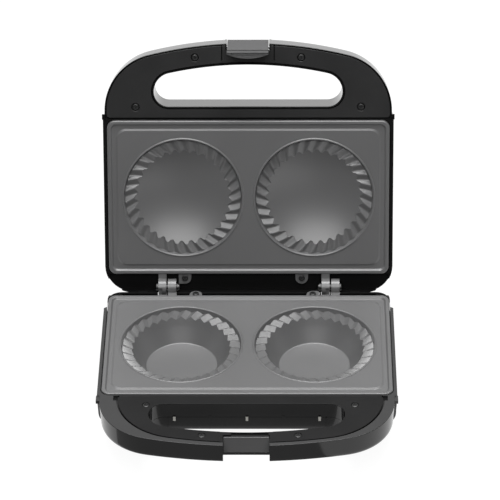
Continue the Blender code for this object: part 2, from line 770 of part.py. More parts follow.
def shell(half):
    """A half's outer shell, with its flange, hollow handle, notch and bosses."""
    body = bowl(half.rim, half.floor, half.face, half.shoulder, half.keel)
    cut(body, shell_cavity(half))
    seat = UNDERSIDE + GAP
    below = half.face + FLANGE + OVERRUN
    cut(body, prism(plate_outline(PLATE_FIT), -OVERRUN, seat))
    cut(body, prism(plate_outline(-SEAT_LEDGE), -OVERRUN, below))
    cut(body, prism(half.cover.inset(-GAP).loop(), -OVERRUN, half.face + COVER_THICKNESS + GAP))
    wide = half.cover.half_width
    back = PLATE_DEPTH / 2
    trench = half.rim.rear - REAR_WALL
    tab_seat = TAB_TOP + TAB_THICKNESS + GAP
    cut(body, box((-wide, back, -OVERRUN), (wide, trench, tab_seat)))
    edge = LID_SIDE + OVERRUN
    rear_top = max(REAR_WALL_TOP, half.face)
    cut(body, box((-edge, back, -OVERRUN), (edge, LID_REAR + OVERRUN, rear_top)))
    for x, square in tab_places():
        cut(body, prism(tab_outline(x, square, GAP), -OVERRUN, tab_seat))
    cut(body, *lug_notches())
    cut(body, prism(OPENING.loop(), -OVERRUN, BASE_DEPTH + OVERRUN))
    if half.skirt:
        skirt_room = OPENING.inset(-SKIRT_WALL - GAP).loop()
        cut(body, prism(skirt_room, -OVERRUN, half.face + half.skirt + GAP))
    cut(body, notch_tool(half))
    boss_top = half.face + COVER_THICKNESS + GAP
    bore_depth = half.face + SCREW_SINK + SCREW_LENGTH + GAP * 2
    for x, y in half.screws:
        join(body, post(BOSS_RADIUS, boss_top, half.keel(y) - WALL / 2, (x, y)))
        cut(body, post(BOSS_BORE, boss_top - OVERRUN, bore_depth, (x, y)))
    screw_depth = tab_seat + SCREW_LENGTH
    for x, square in tab_places():
        place = (x, PLATE_DEPTH / 2 + TAB_BACK)
        cut(body, post(BOSS_BORE, tab_seat - OVERRUN, screw_depth, place))
    reach, front, back = half.nub
    for side in (-1, 1):
        low_x, high_x = sorted((side * (HANDLE_HALF - WALL / 2), side * reach))
        join(body, box((low_x, front, half.face), (high_x, back, half.face + NUB_HEIGHT)))
    return body


def handle_cover(half, parent):
    """The flat inner cover of a handle, round the finger opening."""
    body = prism(half.cover.loop(), half.face, half.face + COVER_THICKNESS)
    if half.skirt:
        skirt = prism(OPENING.inset(-SKIRT_WALL).loop(), half.face + COVER_THICKNESS / 2, half.face + half.skirt)
        join(body, skirt)
    cut(body, prism(OPENING.loop(), -OVERRUN, BASE_DEPTH))
    cut(body, notch_tool(half, GAP))
    low = (-COVER_RECESS_HALF, HANDLE_FRONT, -OVERRUN)
    cut(body, box(low, (COVER_RECESS_HALF, OPENING_FRONT + OVERRUN, half.face + COVER_RECESS)))
    for place in half.screws:
        sink = half.face + SCREW_SINK + SCREW_HEAD_HEIGHT + GAP
        cut(body, post(SCREW_HEAD + SCREW_FIT, -OVERRUN, sink, place))
        cut(body, post(SCREW_SHANK + SCREW_FIT, -OVERRUN, half.face + FLANGE, place))
    return finish(body, half.name + "_handle_cover", "satin_black", parent, smooth=False)


def screw(place, seat):
    """A pan head screw whose head's underside lies at seat."""
    profile = (
        (SCREW_HEAD, seat - SCREW_HEAD_HEIGHT),
        (SCREW_HEAD, seat),
        (SCREW_SHANK, seat),
        (SCREW_SHANK, seat + SCREW_LENGTH - SCREW_HEAD_HEIGHT),
    )
    return turned(profile, SMALL_ROUND, place)


def screws(name, places, seat, parent):
    """Identical screws, each an object of its own."""
    for number, place in enumerate(places, 1):
        finish(screw(place, seat), f"{name}_{number}", "dark_steel", parent)


def flute_ring(centre, radius, level, turn, hand):
    """A ring of ridges and valleys, turned a little for the slant of the flutes."""
    points = []
    count = FLUTE_COUNT * 2
    for i in range(count):
        angle = 2 * math.pi * i / count + hand * turn
        wave = FLUTE_WAVE if i % 2 else -FLUTE_WAVE
        x = centre[0] + radius * math.cos(angle)
        points.append(Vector((x, centre[1] + radius * math.sin(angle), level + wave)))
    return points


def mould_tool(centre, hand, wall_profile):
    """What is cut from a casting for one pie: the fluted band, then the bowl."""
    count = FLUTE_COUNT * 2
    mouth = circle(FLUTE_OUTER, count, centre)
    rings = [at_level(mouth, -OVERRUN)]
    rings.append(flute_ring(centre, FLUTE_OUTER, FLUTE_LEVEL, 0.0, hand))
    rings.append(flute_ring(centre, FLUTE_INNER, FLUTE_LEVEL + FLUTE_FALL, FLUTE_SLANT, hand))
    for radius, level in wall_profile:
        rings.append(at_level(circle(radius, count, centre), level))
    return loft(rings)


def dome_profile():
    """The lid's shallow bowl: a spherical cap below the fluted band."""
    edge = FLUTE_LEVEL + FLUTE_FALL + FLUTE_WAVE
    rise = FIELD_LEVEL + DOME_DEPTH - edge
    ball = (FLUTE_INNER**2 + rise**2) / (2 * rise)
    widest = math.asin(FLUTE_INNER / ball)
    points = []
    for i in range(1, DOME_RINGS + 1):
        turn = widest * (1 - i / (DOME_RINGS + 1))
        points.append((ball * math.sin(turn), edge + rise - ball * (1 - math.cos(turn))))
    return points


def cup_profile():
    """The base's deep bowl down to its flat floor."""
    return [(CUP_WALL_RADIUS, FIELD_LEVEL + CUP_WALL_DEPTH), (CUP_FLOOR, CUP_LEVEL)]


def mould_back(centre, wall_profile):
    """The casting's thickness behind one mould."""
    slab = PLATE_MEET + RIM_HEIGHT
    profile = [(BEAD_RADIUS, slab), (BEAD_RADIUS, BAND_UNDERSIDE)]
    profile.append((FLUTE_INNER + MOULD_WALL, BAND_UNDERSIDE))
    profile += [(radius + MOULD_WALL, level + MOULD_WALL) for radius, level in wall_profile]
    return turned(profile, MOULD_SIDES, centre)


def bead(centre):
    """The raised bead round a mould."""
    outer = BEAD_RADIUS
    inner = BEAD_RADIUS - BEAD_WIDTH
    crest = FIELD_LEVEL - BEAD_HEIGHT
    edge = BEAD_WIDTH / 4
    root = FIELD_LEVEL + FIELD_STEP
    profile = ((outer, root), (outer, FIELD_LEVEL), (outer - edge, crest), (inner, crest))
    return turned(profile, MOULD_SIDES, centre)


def casting(name, wall_profile, stud_depth, parent):
    """A cooking plate with its rim, moulds, lugs, tabs and studs."""
    chamfered = plate_outline(-RIM_CHAMFER)
    rings = [
        at_level(plate_outline(0.0), UNDERSIDE),
        at_level(plate_outline(0.0), LID_FACE + GAP),
        at_level(chamfered, PLATE_MEET),
        at_level(plate_outline(-RIM_CHAMFER - RIM_WIDTH), PLATE_MEET),
        at_level(plate_outline(-RIM_CHAMFER - RIM_WIDTH - RIM_SLOPE), FLOOR_LEVEL),
    ]
    body = loft(rings)
    half_x = PLATE_WIDTH / 2 - FIELD_INSET
    half_y = PLATE_DEPTH / 2 - FIELD_INSET
    field = rounded_rectangle(half_x, -half_y, half_y, FIELD_CORNER)
    join(body, prism(field, FIELD_LEVEL, UNDERSIDE - MOULD_WALL / 2))
    for side in (-1, 1):
        centre = (side * PIE_SPACING / 2, 0.0)
        join(body, bead(centre), mould_back(centre, wall_profile))
    for side in (-1, 1):
        centre = (side * PIE_SPACING / 2, 0.0)
        cut(body, mould_tool(centre, -side, wall_profile))
    for low, high in lug_places():
        join(body, lug(low, high))
    for x, square in tab_places():
        join(body, prism(tab_outline(x, square), TAB_TOP, TAB_TOP + TAB_THICKNESS))
        place = (x, PLATE_DEPTH / 2 + TAB_BACK)
        cut(body, post(SCREW_SHANK + SCREW_FIT, 0.0, UNDERSIDE + OVERRUN, place))
    for y in STUDS.values():
        place = (0.0, y)
        join(body, post(STUD_RADIUS, UNDERSIDE - MOULD_WALL / 2, stud_depth - GAP, place))
        cut(body, post(STUD_BORE, stud_depth - SCREW_LENGTH, stud_depth + OVERRUN, place))
    return finish(body, name, "coated_plate", parent)


def lug(low, high):
    """A hinge lug: a round eye on the hinge axis and a web to the plate's back."""
    eye = []
    for i in range(ROUND):
        turn = 2 * math.pi * i / ROUND
        eye.append((HINGE_Y + LUG_RADIUS * math.cos(turn), LUG_RADIUS * math.sin(turn)))
    body = along_x(eye, low, high)
    root = PLATE_DEPTH / 2 - RIM_CHAMFER - RIM_WIDTH / 2
    web = ((root, LUG_WEB_TOP), (HINGE_Y, LUG_WEB_TOP), (HINGE_Y, LUG_WEB_BOTTOM), (root, LUG_WEB_BOTTOM))
    join(body, along_x(web, low, high))
    bore = []
    for i in range(ROUND):
        turn = 2 * math.pi * i / ROUND
        radius = PIN_RADIUS + RUNNING
        bore.append((HINGE_Y + radius * math.cos(turn), radius * math.sin(turn)))
    return cut(body, along_x(bore, low - OVERRUN, high + OVERRUN))


def across(profile, sides, y, z):
    """A solid turned about a line along X, from radius and X pairs."""
    rings = []
    for radius, x in profile:
        ring = circle(radius, sides, (y, z))
        rings.append([Vector((x, ring_y, ring_z)) for ring_y, ring_z in ring])
    return loft(rings)


def hinge_pins(parent):
    """Both pins, headed on the outside and held by a clip inside."""
    inner = LUG_INNER - RUNNING * 2
    outer = LUG_OUTER + LUG_WIDTH + RUNNING * 2
    for name, side in (("left_hinge_pin", 1), ("right_hinge_pin", -1)):
        profile = (
            (PIN_HEAD_RADIUS, side * (outer + PIN_HEAD_LENGTH)),
            (PIN_HEAD_RADIUS, side * outer),
            (PIN_RADIUS, side * outer),
            (PIN_RADIUS, side * (inner - CLIP_LENGTH - PIN_HEAD_LENGTH)),
        )
        finish(across(profile, ROUND, HINGE_Y, 0.0), name, "steel", parent)
    for name, side in (("left_pin_clip", 1), ("right_pin_clip", -1)):
        start = side * inner
        end = side * (inner - CLIP_LENGTH)
        clip = across(((CLIP_RADIUS, start), (CLIP_RADIUS, end)), ROUND, HINGE_Y, 0.0)
        bore = PIN_RADIUS + RUNNING / 2
        reach = side * OVERRUN
        cut(clip, across(((bore, start + reach), (bore, end - reach)), ROUND, HINGE_Y, 0.0))
        finish(clip, name, "steel", parent)


def latch(parent, origin):
    """The swinging latch: face plate, hook with a bowed nose, and two cheeks."""
    back = LATCH_FACE + LATCH_THICKNESS
    body = box((-LATCH_HALF, LATCH_FACE, -LATCH_REACH), (LATCH_HALF, back, LATCH_TOP))
    nose = [(LATCH_HALF, LATCH_FACE)]
    for i in range(HOOK_BOW_STEPS + 1):
        share = 1 - 2 * i / HOOK_BOW_STEPS
        nose.append((LATCH_HALF * share, HOOK_NOSE - HOOK_BOW * share * share))
    nose.append((-LATCH_HALF, LATCH_FACE))
    join(body, prism(nose, -LATCH_REACH, -HOOK_LEVEL))
    for side in (-1, 1):
        low_x, high_x = sorted((side * LATCH_HALF, side * (LATCH_HALF - CHEEK_THICKNESS)))
        cheek = [
            (LATCH_PIN_Y + CHEEK_RADIUS * math.sin(math.pi * i / 8), LATCH_PIN_Z + CHEEK_RADIUS * math.cos(math.pi * i / 8))
            for i in range(9)
        ]
        cheek += [(LATCH_FACE + GAP, LATCH_PIN_Z - CHEEK_RADIUS), (LATCH_FACE + GAP, LATCH_PIN_Z + CHEEK_RADIUS)]
        join(body, along_x(cheek, low_x, high_x))
    bore = LATCH_PIN_RADIUS + RUNNING
    reach = LATCH_HALF + OVERRUN
    cut(body, across(((bore, -reach), (bore, reach)), SMALL_ROUND, LATCH_PIN_Y, LATCH_PIN_Z))
    return finish(body, "latch", "latch_grey", parent, origin)


def latch_pin(parent):
    """The latch's pin, held in the walls of the lid's notch."""
    reach = NOTCH_HALF + LATCH_PIN_BITE
    profile = ((LATCH_PIN_RADIUS, -reach), (LATCH_PIN_RADIUS, reach))
    return finish(across(profile, SMALL_ROUND, LATCH_PIN_Y, LATCH_PIN_Z), "latch_pin", "steel", parent)


def latch_catch(parent):
    """The block in the base's notch that the latch's hook closes under."""
    back = BASE_NOTCH_BACK - GAP
    half = NOTCH_HALF - GAP * 2
    profile = (
        (CATCH_FACE + CATCH_LEAN, CATCH_TOP),
        (back, CATCH_TOP),
        (back, CATCH_BOTTOM),
        (CATCH_FACE, CATCH_BOTTOM),
    )
    return finish(along_x(profile, -half, half), "latch_catch", "latch_grey", parent, smooth=False)


def heating_element(name, parent):
    """A sheathed element bent round both moulds, its tails turned into the shell."""
    centre_x = PIE_SPACING / 2
    level = ELEMENT_LEVEL
    tail = level + ELEMENT_TAIL
    path = [(ELEMENT_GAP_HALF, ELEMENT_LOOP, tail), (ELEMENT_GAP_HALF, ELEMENT_LOOP, level)]
    for i in range(ELEMENT_STEPS + 1):
        turn = math.pi / 2 - math.pi * i / ELEMENT_STEPS
        path.append((centre_x + ELEMENT_LOOP * math.cos(turn), ELEMENT_LOOP * math.sin(turn), level))
    for i in range(ELEMENT_STEPS + 1):
        turn = -math.pi / 2 - math.pi * i / ELEMENT_STEPS
        path.append((-centre_x + ELEMENT_LOOP * math.cos(turn), ELEMENT_LOOP * math.sin(turn), level))
    path += [(-ELEMENT_GAP_HALF, ELEMENT_LOOP, level), (-ELEMENT_GAP_HALF, ELEMENT_LOOP, tail)]
    return finish(tube(path, ELEMENT_RADIUS), name, "element_steel", parent)


def reflector(name, depth, parent):
    """A pressed tray behind the element, screwed to the casting's studs."""
    outer = rounded_rectangle(REFLECTOR_HALF, -REFLECTOR_DEPTH_HALF, REFLECTOR_DEPTH_HALF, REFLECTOR_CORNER)
    sheet = REFLECTOR_SHEET
    inner = rounded_rectangle(
        REFLECTOR_HALF - sheet, sheet - REFLECTOR_DEPTH_HALF, REFLECTOR_DEPTH_HALF - sheet, REFLECTOR_CORNER - sheet
    )
    body = prism(outer, depth - REFLECTOR_LIP, depth + sheet)
    cut(body, prism(inner, depth - REFLECTOR_LIP - OVERRUN, depth))
    for y in STUDS.values():
        bore = SCREW_SHANK + SCREW_FIT
        cut(body, post(bore, depth - OVERRUN, depth + OVERRUN, (0.0, y)))
    return finish(body, name, "bright_sheet", parent)


def reflector_screws(name, depth, parent):
    """Two screws through a reflector into the studs, heads towards the shell."""
    seat = depth + REFLECTOR_SHEET + GAP
    for end, y in STUDS.items():
        profile = (
            (SCREW_HEAD, seat + SCREW_HEAD_HEIGHT),
            (SCREW_HEAD, seat),
            (SCREW_SHANK, seat),
            (SCREW_SHANK, seat - SCREW_LENGTH / 2),
        )
        made = turned(profile, SMALL_ROUND, (0.0, y))
        finish(made, f"{name}_{end}", "dark_steel", parent)


def thermostat(parent):
    """The disc thermostat on the underside of the base's casting."""
    top = UNDERSIDE + GAP
    body = post(THERMOSTAT_RADIUS, top, top + THERMOSTAT_HEIGHT, (0.0, THERMOSTAT_Y), ROUND)
    width, thickness, height = THERMOSTAT_TAB
    for side in (-1, 1):
        x = side * THERMOSTAT_TAB_X
        low = (x - thickness / 2, THERMOSTAT_Y - width / 2, top + THERMOSTAT_HEIGHT - thickness)
        join(body, box(low, (x + thickness / 2, THERMOSTAT_Y + width / 2, top + height)))
    return finish(body, "thermostat", "ceramic", parent)


def thermal_fuse(parent):
    """The one-shot fuse against the casting, beside the thermostat."""
    level = UNDERSIDE + GAP + FUSE_RADIUS
    half = FUSE_LENGTH / 2
    profile = (
        (FUSE_RADIUS / 2, -half),
        (FUSE_RADIUS, -half + FUSE_RADIUS),
        (FUSE_RADIUS, half - FUSE_RADIUS),
        (FUSE_RADIUS / 2, half),
    )
    return finish(across(profile, SMALL_ROUND, FUSE_Y, level), "thermal_fuse", "ceramic", parent)


def terminal_block(parent):
    """The block on the housing's floor where the supply cord is joined."""
    bottom = BASE_DEPTH - WALL - GAP
    top = bottom - BLOCK_HEIGHT
    low = (BLOCK_X - BLOCK_LENGTH / 2, BLOCK_Y - BLOCK_WIDTH / 2, top)
    body = box(low, (BLOCK_X + BLOCK_LENGTH / 2, BLOCK_Y + BLOCK_WIDTH / 2, bottom))
    for way in range(BLOCK_WAYS):
        place = (BLOCK_X + BLOCK_LENGTH * ((way + 0.5) / BLOCK_WAYS - 0.5), BLOCK_Y)
        cut(body, post(BLOCK_WELL, top - OVERRUN, top + BLOCK_WELL_DEPTH, place))
    return finish(body, "terminal_block", "nylon", parent, smooth=False)


def backwards(profile, sides, x, z):
    """A solid turned about a line along Y, from radius and Y pairs."""
    rings = []
    for radius, y in profile:
        rings.append([Vector((ring_x, y, ring_z)) for ring_x, ring_z in circle(radius, sides, (x, z))])
    return loft(rings)


def cord_gland(parent):
    """The bush in the housing's back wall for the supply cord."""
    x, z = GLAND_X, GLAND_Z
    outside = GLAND_BOSS_BACK + GAP
    inside = GLAND_BOSS_FRONT - GAP
    profile = (
        (GLAND_FLANGE, outside + GLAND_FLANGE_LENGTH),
        (GLAND_FLANGE, outside),
        (GLAND_NECK, outside),
        (GLAND_NECK, inside),
        (GLAND_FLANGE, inside),
        (GLAND_NECK, inside - GLAND_FLANGE_LENGTH),
    )
    body = backwards(profile, ROUND, x, z)
    bore = ((GLAND_BORE, GLAND_BOSS_FRONT - FLANGE), (GLAND_BORE, outside + FLANGE))
    return finish(cut(body, backwards(bore, ROUND, x, z)), "cord_gland", "rubber", parent)


def feet(parent):
    """Four rubber feet under the flat of the base."""
    top = BASE_DEPTH + GAP
    bottom = BASE_DEPTH + FOOT_HEIGHT
    for end, y in (("front", FOOT_FRONT_Y), ("back", FOOT_BACK_Y)):
        for hand, side in (("left", 1), ("right", -1)):
            profile = ((FOOT_RADIUS, top), (FOOT_RADIUS - FOOT_TAPER, bottom))
            made = turned(profile, ROUND, (side * FOOT_X, y))
            finish(made, f"foot_{end}_{hand}", "rubber", parent)


def lamps(parent):
    """Two indicator lenses in the top of the lid, and the holder behind them."""
    top = LID_DEPTH
    inside = LID_DEPTH - WALL - GAP
    bore = LENS_RADIUS - RUNNING
    for name, side, colour in (("power_lens", -1, "red_lens"), ("ready_lens", 1, "green_lens")):
        profile = (
            (LENS_FLANGE, inside - LENS_FLANGE_LENGTH),
            (LENS_FLANGE, inside),
            (bore, inside),
            (bore, top),
            (bore / 2, top + LENS_RISE),
        )
        finish(turned(profile, ROUND, (side * LAMP_X, LAMP_Y)), name, colour, parent)
    low = (-HOLDER_LENGTH / 2, LAMP_Y - HOLDER_WIDTH / 2, HOLDER_TOP)
    holder = box(low, (HOLDER_LENGTH / 2, LAMP_Y + HOLDER_WIDTH / 2, HOLDER_TOP + HOLDER_HEIGHT))
    finish(holder, "lamp_holder", "nylon", parent, smooth=False)


def base_shell(parent):
    """The base's housing: the shell, its stops for the lid and its gland boss."""
    body = shell(BASE)
    edge = (LID_REAR - HINGE_Y) * math.cos(OPEN_ANGLE) + REAR_WALL_TOP * math.sin(OPEN_ANGLE)
    touch = HINGE_Y + edge - GAP
    for side in (-1, 1):
        centre = side * STOP_X
        low = (centre - STOP_WIDTH / 2, BASE_REAR - WALL / 2, STOP_TOP)
        join(body, box(low, (centre + STOP_WIDTH / 2, touch, STOP_BOTTOM)))
    x, z = GLAND_X, GLAND_Z
    join(body, backwards(((GLAND_BOSS_RADIUS, GLAND_BOSS_FRONT), (GLAND_BOSS_RADIUS, GLAND_BOSS_BACK)), ROUND, x, z))
    bore = GLAND_NECK + GAP
    cut(body, backwards(((bore, GLAND_BOSS_FRONT - OVERRUN), (bore, GLAND_BOSS_BACK + OVERRUN)), ROUND, x, z))
    return finish(body, "base_housing", "gloss_black", parent)


def lid_shell(parent):
    """The lid's cover: the shell, its latch pin holes and its lamp holes."""
    body = shell(LID)
    bore = LATCH_PIN_RADIUS + RUNNING
    reach = NOTCH_HALF + WALL + OVERRUN
    cut(body, across(((bore, -reach), (bore, reach)), SMALL_ROUND, LATCH_PIN_Y, LATCH_PIN_Z))
    for side in (-1, 1):
        place = (side * LAMP_X, LAMP_Y)
        cut(body, post(LENS_RADIUS, LID_DEPTH - WALL * 2, LID_DEPTH + OVERRUN, place, ROUND))
    return finish(body, "lid_shell", "gloss_black", parent)


def frames():
    """The empties that carry the halves and the latch, with the part stood on Z = 0."""
    lean = OPEN_ANGLE - math.pi / 2
    edge = LID_ROUNDING
    crown_y = HANDLE_FRONT + edge - HINGE_Y
    crown_z = LID_DEPTH - edge
    back = HINGE_Y + crown_z * math.cos(lean) - crown_y * math.sin(lean) + edge
    middle = (back + BASE_RIM.front) / 2
    height = BASE_DEPTH + FOOT_HEIGHT
    base = empty("base_frame", (0.0, -middle, height), rotation=(0.0, math.pi, 0.0))
    hinge = empty("lid_hinge", (0.0, HINGE_Y - middle, height), rotation=(-OPEN_ANGLE, 0.0, 0.0))
    lid = empty("lid_frame", (0.0, -HINGE_Y, 0.0), hinge)
    axis = empty("latch_axis", (0.0, LATCH_PIN_Y, LATCH_PIN_Z), lid)
    return base, lid, axis


def build():
    clear_scene()
    base, lid, axis = frames()
    base_shell(base)
    handle_cover(BASE, base)
    casting("base_plate", cup_profile(), BASE_REFLECTOR, base)
    heating_element("base_element", base)
    reflector("base_reflector", BASE_REFLECTOR, base)
    reflector_screws("base_reflector_screw", BASE_REFLECTOR, base)
    thermostat(base)
    thermal_fuse(base)
    terminal_block(base)
    cord_gland(base)
    latch_catch(base)
    feet(base)
    hinge_pins(base)
    lid_shell(lid)
    handle_cover(LID, lid)
    casting("lid_plate", dome_profile(), LID_REFLECTOR, lid)
    heating_element("lid_element", lid)
    reflector("lid_reflector", LID_REFLECTOR, lid)
    reflector_screws("lid_reflector_screw", LID_REFLECTOR, lid)
    lamps(lid)
    latch_pin(lid)
    latch(axis, (0.0, -LATCH_PIN_Y, -LATCH_PIN_Z))
    for half, parent in ((BASE, base), (LID, lid)):
        seat = half.face + SCREW_SINK + SCREW_HEAD_HEIGHT
        screws(half.name + "_handle_screw", half.screws, seat, parent)
        places = [(x, PLATE_DEPTH / 2 + TAB_BACK) for x, square in tab_places()]
        screws(half.name + "_plate_screw", places, TAB_TOP - GAP, parent)


build()
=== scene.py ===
"""Looks of the pie maker: fine shells, plates, latch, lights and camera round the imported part.

Each half is modelled in its own frame, as in the part: X across, Y to the back,
Z the distance from the plane where the plates meet into that half.
"""

import math

import bmesh
import bpy
from mathutils import Matrix, Vector

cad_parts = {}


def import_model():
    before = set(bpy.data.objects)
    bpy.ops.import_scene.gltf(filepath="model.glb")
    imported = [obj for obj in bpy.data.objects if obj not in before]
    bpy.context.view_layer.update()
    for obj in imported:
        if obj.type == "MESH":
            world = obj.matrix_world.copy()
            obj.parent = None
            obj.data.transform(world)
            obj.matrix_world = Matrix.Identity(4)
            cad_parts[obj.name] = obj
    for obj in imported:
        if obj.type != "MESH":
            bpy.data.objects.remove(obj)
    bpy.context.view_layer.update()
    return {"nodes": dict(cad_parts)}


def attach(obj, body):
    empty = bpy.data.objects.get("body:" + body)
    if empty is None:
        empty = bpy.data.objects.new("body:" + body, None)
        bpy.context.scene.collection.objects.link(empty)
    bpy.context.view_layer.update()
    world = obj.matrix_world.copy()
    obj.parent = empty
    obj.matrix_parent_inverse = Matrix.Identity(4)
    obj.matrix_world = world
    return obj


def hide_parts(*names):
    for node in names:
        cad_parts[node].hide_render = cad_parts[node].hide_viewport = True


# Sizes in millimetres, as in the part
MM = 0.001
MIDDLE = 25.820
STAND = 50.0
OPEN = math.radians(111.5)
PIE_X = 58.2
PLATE_X = 125.0
PLATE_Y = 70.5
PLATE_CORNER = 7.0
HINGE_Y = PLATE_Y + 11.2
LUG_X = 64.6
LUG_WIDTH = 8.1
LUG_RADIUS = 7.3
WEB_DEPTH = 5.0
TAB_Y = PLATE_Y + 3.6
TAB_RADIUS = 5.7
TABS = ((-57.1, True), (47.3, False))
LID_FACE = 2.5
BASE_FACE = 1.0
LID_DEPTH = 34.0
BASE_DEPTH = 44.0
LID_SIDE = PLATE_X + 3.4
BASE_SIDE = PLATE_X + 3.3
LID_REAR = HINGE_Y + 6.1
BASE_REAR = HINGE_Y - 3.8
REAR_WALL_TOP = 3.0
SHOULDER_Y = -PLATE_Y - 3.5
OPENING_BACK = -PLATE_Y - 11.9
OPENING_FRONT = OPENING_BACK - 37.4
NOTCH_BACK = OPENING_FRONT - 6.8
BASE_NOTCH_BACK = OPENING_FRONT - 3.8
CATCH_FACE = BASE_NOTCH_BACK - 3.9
HOOK_NOSE = CATCH_FACE - 1.9
LATCH_FACE = HOOK_NOSE - 10.0
NOTCH_HALF = 19.5
NOTCH_FRONT = LATCH_FACE - 2.6
NOTCH_DEPTH = 36.0
HANDLE_FRONT = LATCH_FACE + 0.2
HANDLE_HALF = PLATE_X + 1.8
HANDLE_ARC = 370.0
HANDLE_CORNER = 52.0
OPENING_HALF = HANDLE_HALF - 43.7
COVER_BACK = -PLATE_Y - 1.7
COVER_THICKNESS = 2.4
COVER_EDGE = 0.35
SKIRT_WALL = 1.4
SKIRT_END = 15.5

# Cutters start and end outside of what they cut
CUT_TOP = -2.0
CUT_END = 50.0

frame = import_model()


def to_base():
    return Matrix.Translation(Vector((0, -MIDDLE, STAND)) * MM) @ Matrix.Rotation(math.pi, 4, "Y")


def to_lid():
    place = Matrix.Translation(Vector((0, HINGE_Y - MIDDLE, STAND)) * MM)
    return place @ Matrix.Rotation(-OPEN, 4, "X") @ Matrix.Translation(Vector((0, -HINGE_Y, 0)) * MM)


PLACE = {"base": to_base(), "lid": to_lid(), "latch": to_lid()}


# Materials

def new_material(name):
    made = bpy.data.materials.new(name)
    made.use_nodes = True
    tree = made.node_tree
    return made, tree, tree.nodes["Principled BSDF"]


def noise(tree, scale, detail=3.0, roughness=0.5):
    """Noise in the row's own space, so that it keeps its size on every piece."""
    where = tree.nodes.new("ShaderNodeTexCoord")
    made = tree.nodes.new("ShaderNodeTexNoise")
    made.inputs["Scale"].default_value = scale
    made.inputs["Detail"].default_value = detail
    made.inputs["Roughness"].default_value = roughness
    tree.links.new(where.outputs["Object"], made.inputs["Vector"])
    return made


def ramp(tree, source, low, high, start=0.3, end=0.7):
    made = tree.nodes.new("ShaderNodeValToRGB")
    made.color_ramp.elements[0].position = start
    made.color_ramp.elements[1].position = end
    made.color_ramp.elements[0].color = (*low, 1)
    made.color_ramp.elements[1].color = (*high, 1)
    tree.links.new(source, made.inputs["Fac"])
    return made


def span(tree, source, low, high):
    made = tree.nodes.new("ShaderNodeMapRange")
    made.inputs["To Min"].default_value = low
    made.inputs["To Max"].default_value = high
    tree.links.new(source, made.inputs["Value"])
    return made


def bump(tree, shader, source, strength, distance):
    made = tree.nodes.new("ShaderNodeBump")
    made.inputs["Strength"].default_value = strength
    made.inputs["Distance"].default_value = distance * MM
    tree.links.new(source, made.inputs["Height"])
    tree.links.new(made.outputs["Normal"], shader.inputs["Normal"])


def calc(tree, operation, *sources):
    """A sum in nodes, over sockets and numbers."""
    made = tree.nodes.new("ShaderNodeMath")
    made.operation = operation
    for socket, source in zip(made.inputs, sources):
        if isinstance(source, float):
            socket.default_value = source
        else:
            tree.links.new(source, socket)
    return made.outputs[0]


def surface(name, colour, spread, rough, rough_spread, scale, relief=0.0, level=0.5, fine=None, coat=0.0):
    """A moulded or cast surface: its colour and gloss wander a little, over a fine grain."""
    made, tree, shader = new_material(name)
    broad = noise(tree, scale).outputs["Fac"]
    grain = noise(tree, fine or scale * 12, 4.0, 0.6).outputs["Fac"]
    both = calc(tree, "MULTIPLY_ADD", grain, 0.5, calc(tree, "MULTIPLY", broad, 0.5))
    low = tuple(c * (1 - spread) for c in colour)
    high = tuple(c * (1 + spread) for c in colour)
    tone = ramp(tree, both, low, high, 0.35, 0.65)
    tree.links.new(tone.outputs["Color"], shader.inputs["Base Color"])
    gloss = span(tree, broad, rough - rough_spread, rough + rough_spread)
    tree.links.new(gloss.outputs["Result"], shader.inputs["Roughness"])
    shader.inputs["Specular IOR Level"].default_value = level
    if coat:
        shader.inputs["Coat Weight"].default_value = coat
        shader.inputs["Coat Roughness"].default_value = 0.15
    if relief:
        bump(tree, shader, grain, relief, 0.02)
    return made


def brushed(name, colour, rough, along=(1, 1, 1)):
    made, tree, shader = new_material(name)
    where = tree.nodes.new("ShaderNodeTexCoord")
    stretch = tree.nodes.new("ShaderNodeMapping")
    stretch.inputs["Scale"].default_value = along
    grain = tree.nodes.new("ShaderNodeTexNoise")
    grain.inputs["Scale"].default_value = 1500
    grain.inputs["Detail"].default_value = 3
    tree.links.new(where.outputs["Object"], stretch.inputs["Vector"])
    tree.links.new(stretch.outputs["Vector"], grain.inputs["Vector"])
    low = tuple(c * 0.85 for c in colour)
    high = tuple(min(c * 1.12, 1) for c in colour)
    tone = ramp(tree, grain.outputs["Fac"], low, high)
    tree.links.new(tone.outputs["Color"], shader.inputs["Base Color"])
    gloss = span(tree, grain.outputs["Fac"], rough * 0.8, rough * 1.2)
    tree.links.new(gloss.outputs["Result"], shader.inputs["Roughness"])
    shader.inputs["Metallic"].default_value = 1.0
    bump(tree, shader, grain.outputs["Fac"], 0.15, 0.01)
    return made


def grey(value):
    return (value, value, value * 1.01)


GLOSS = surface("gloss_shell", grey(0.010), 0.15, 0.12, 0.03, 18, relief=0.02, fine=900)
BAND = surface("satin_shell", grey(0.040), 0.12, 0.30, 0.04, 18, relief=0.05, fine=1200)
COVER = surface("grained_cover", grey(0.016), 0.18, 0.42, 0.05, 25, relief=0.12, level=0.12, fine=1700)
LID_GRAIN = surface(
    "grained_lid_cover", grey(0.027), 0.18, 0.42, 0.05, 25, relief=0.12, level=0.20, fine=1700
)
COATING = surface("plate_coating", grey(0.128), 0.06, 0.36, 0.03, 14, relief=0.06, level=0.95, fine=2200)
LATCH = surface("latch_plastic", grey(0.100), 0.08, 0.38, 0.04, 30, relief=0.05, level=0.06, fine=1500)
CATCH = surface("catch_plastic", grey(0.130), 0.08, 0.35, 0.04, 30, relief=0.05, fine=1500)
# Painted shade: a near-black colour for faces that lie in shade, namely the well behind the plates, the lug
# slots, the lid's cover bed and the screw wells
PAINTED_SHADE = surface("painted_recess_shade", grey(0.004), 0.20, 0.50, 0.05, 20, relief=0.05, level=0.10, fine=1000)
RUBBER = surface("rubber_foot", grey(0.022), 0.25, 0.75, 0.06, 40, relief=0.25, fine=900)
CERAMIC = surface("ceramic_body", (0.78, 0.76, 0.71), 0.05, 0.55, 0.06, 60, relief=0.08)
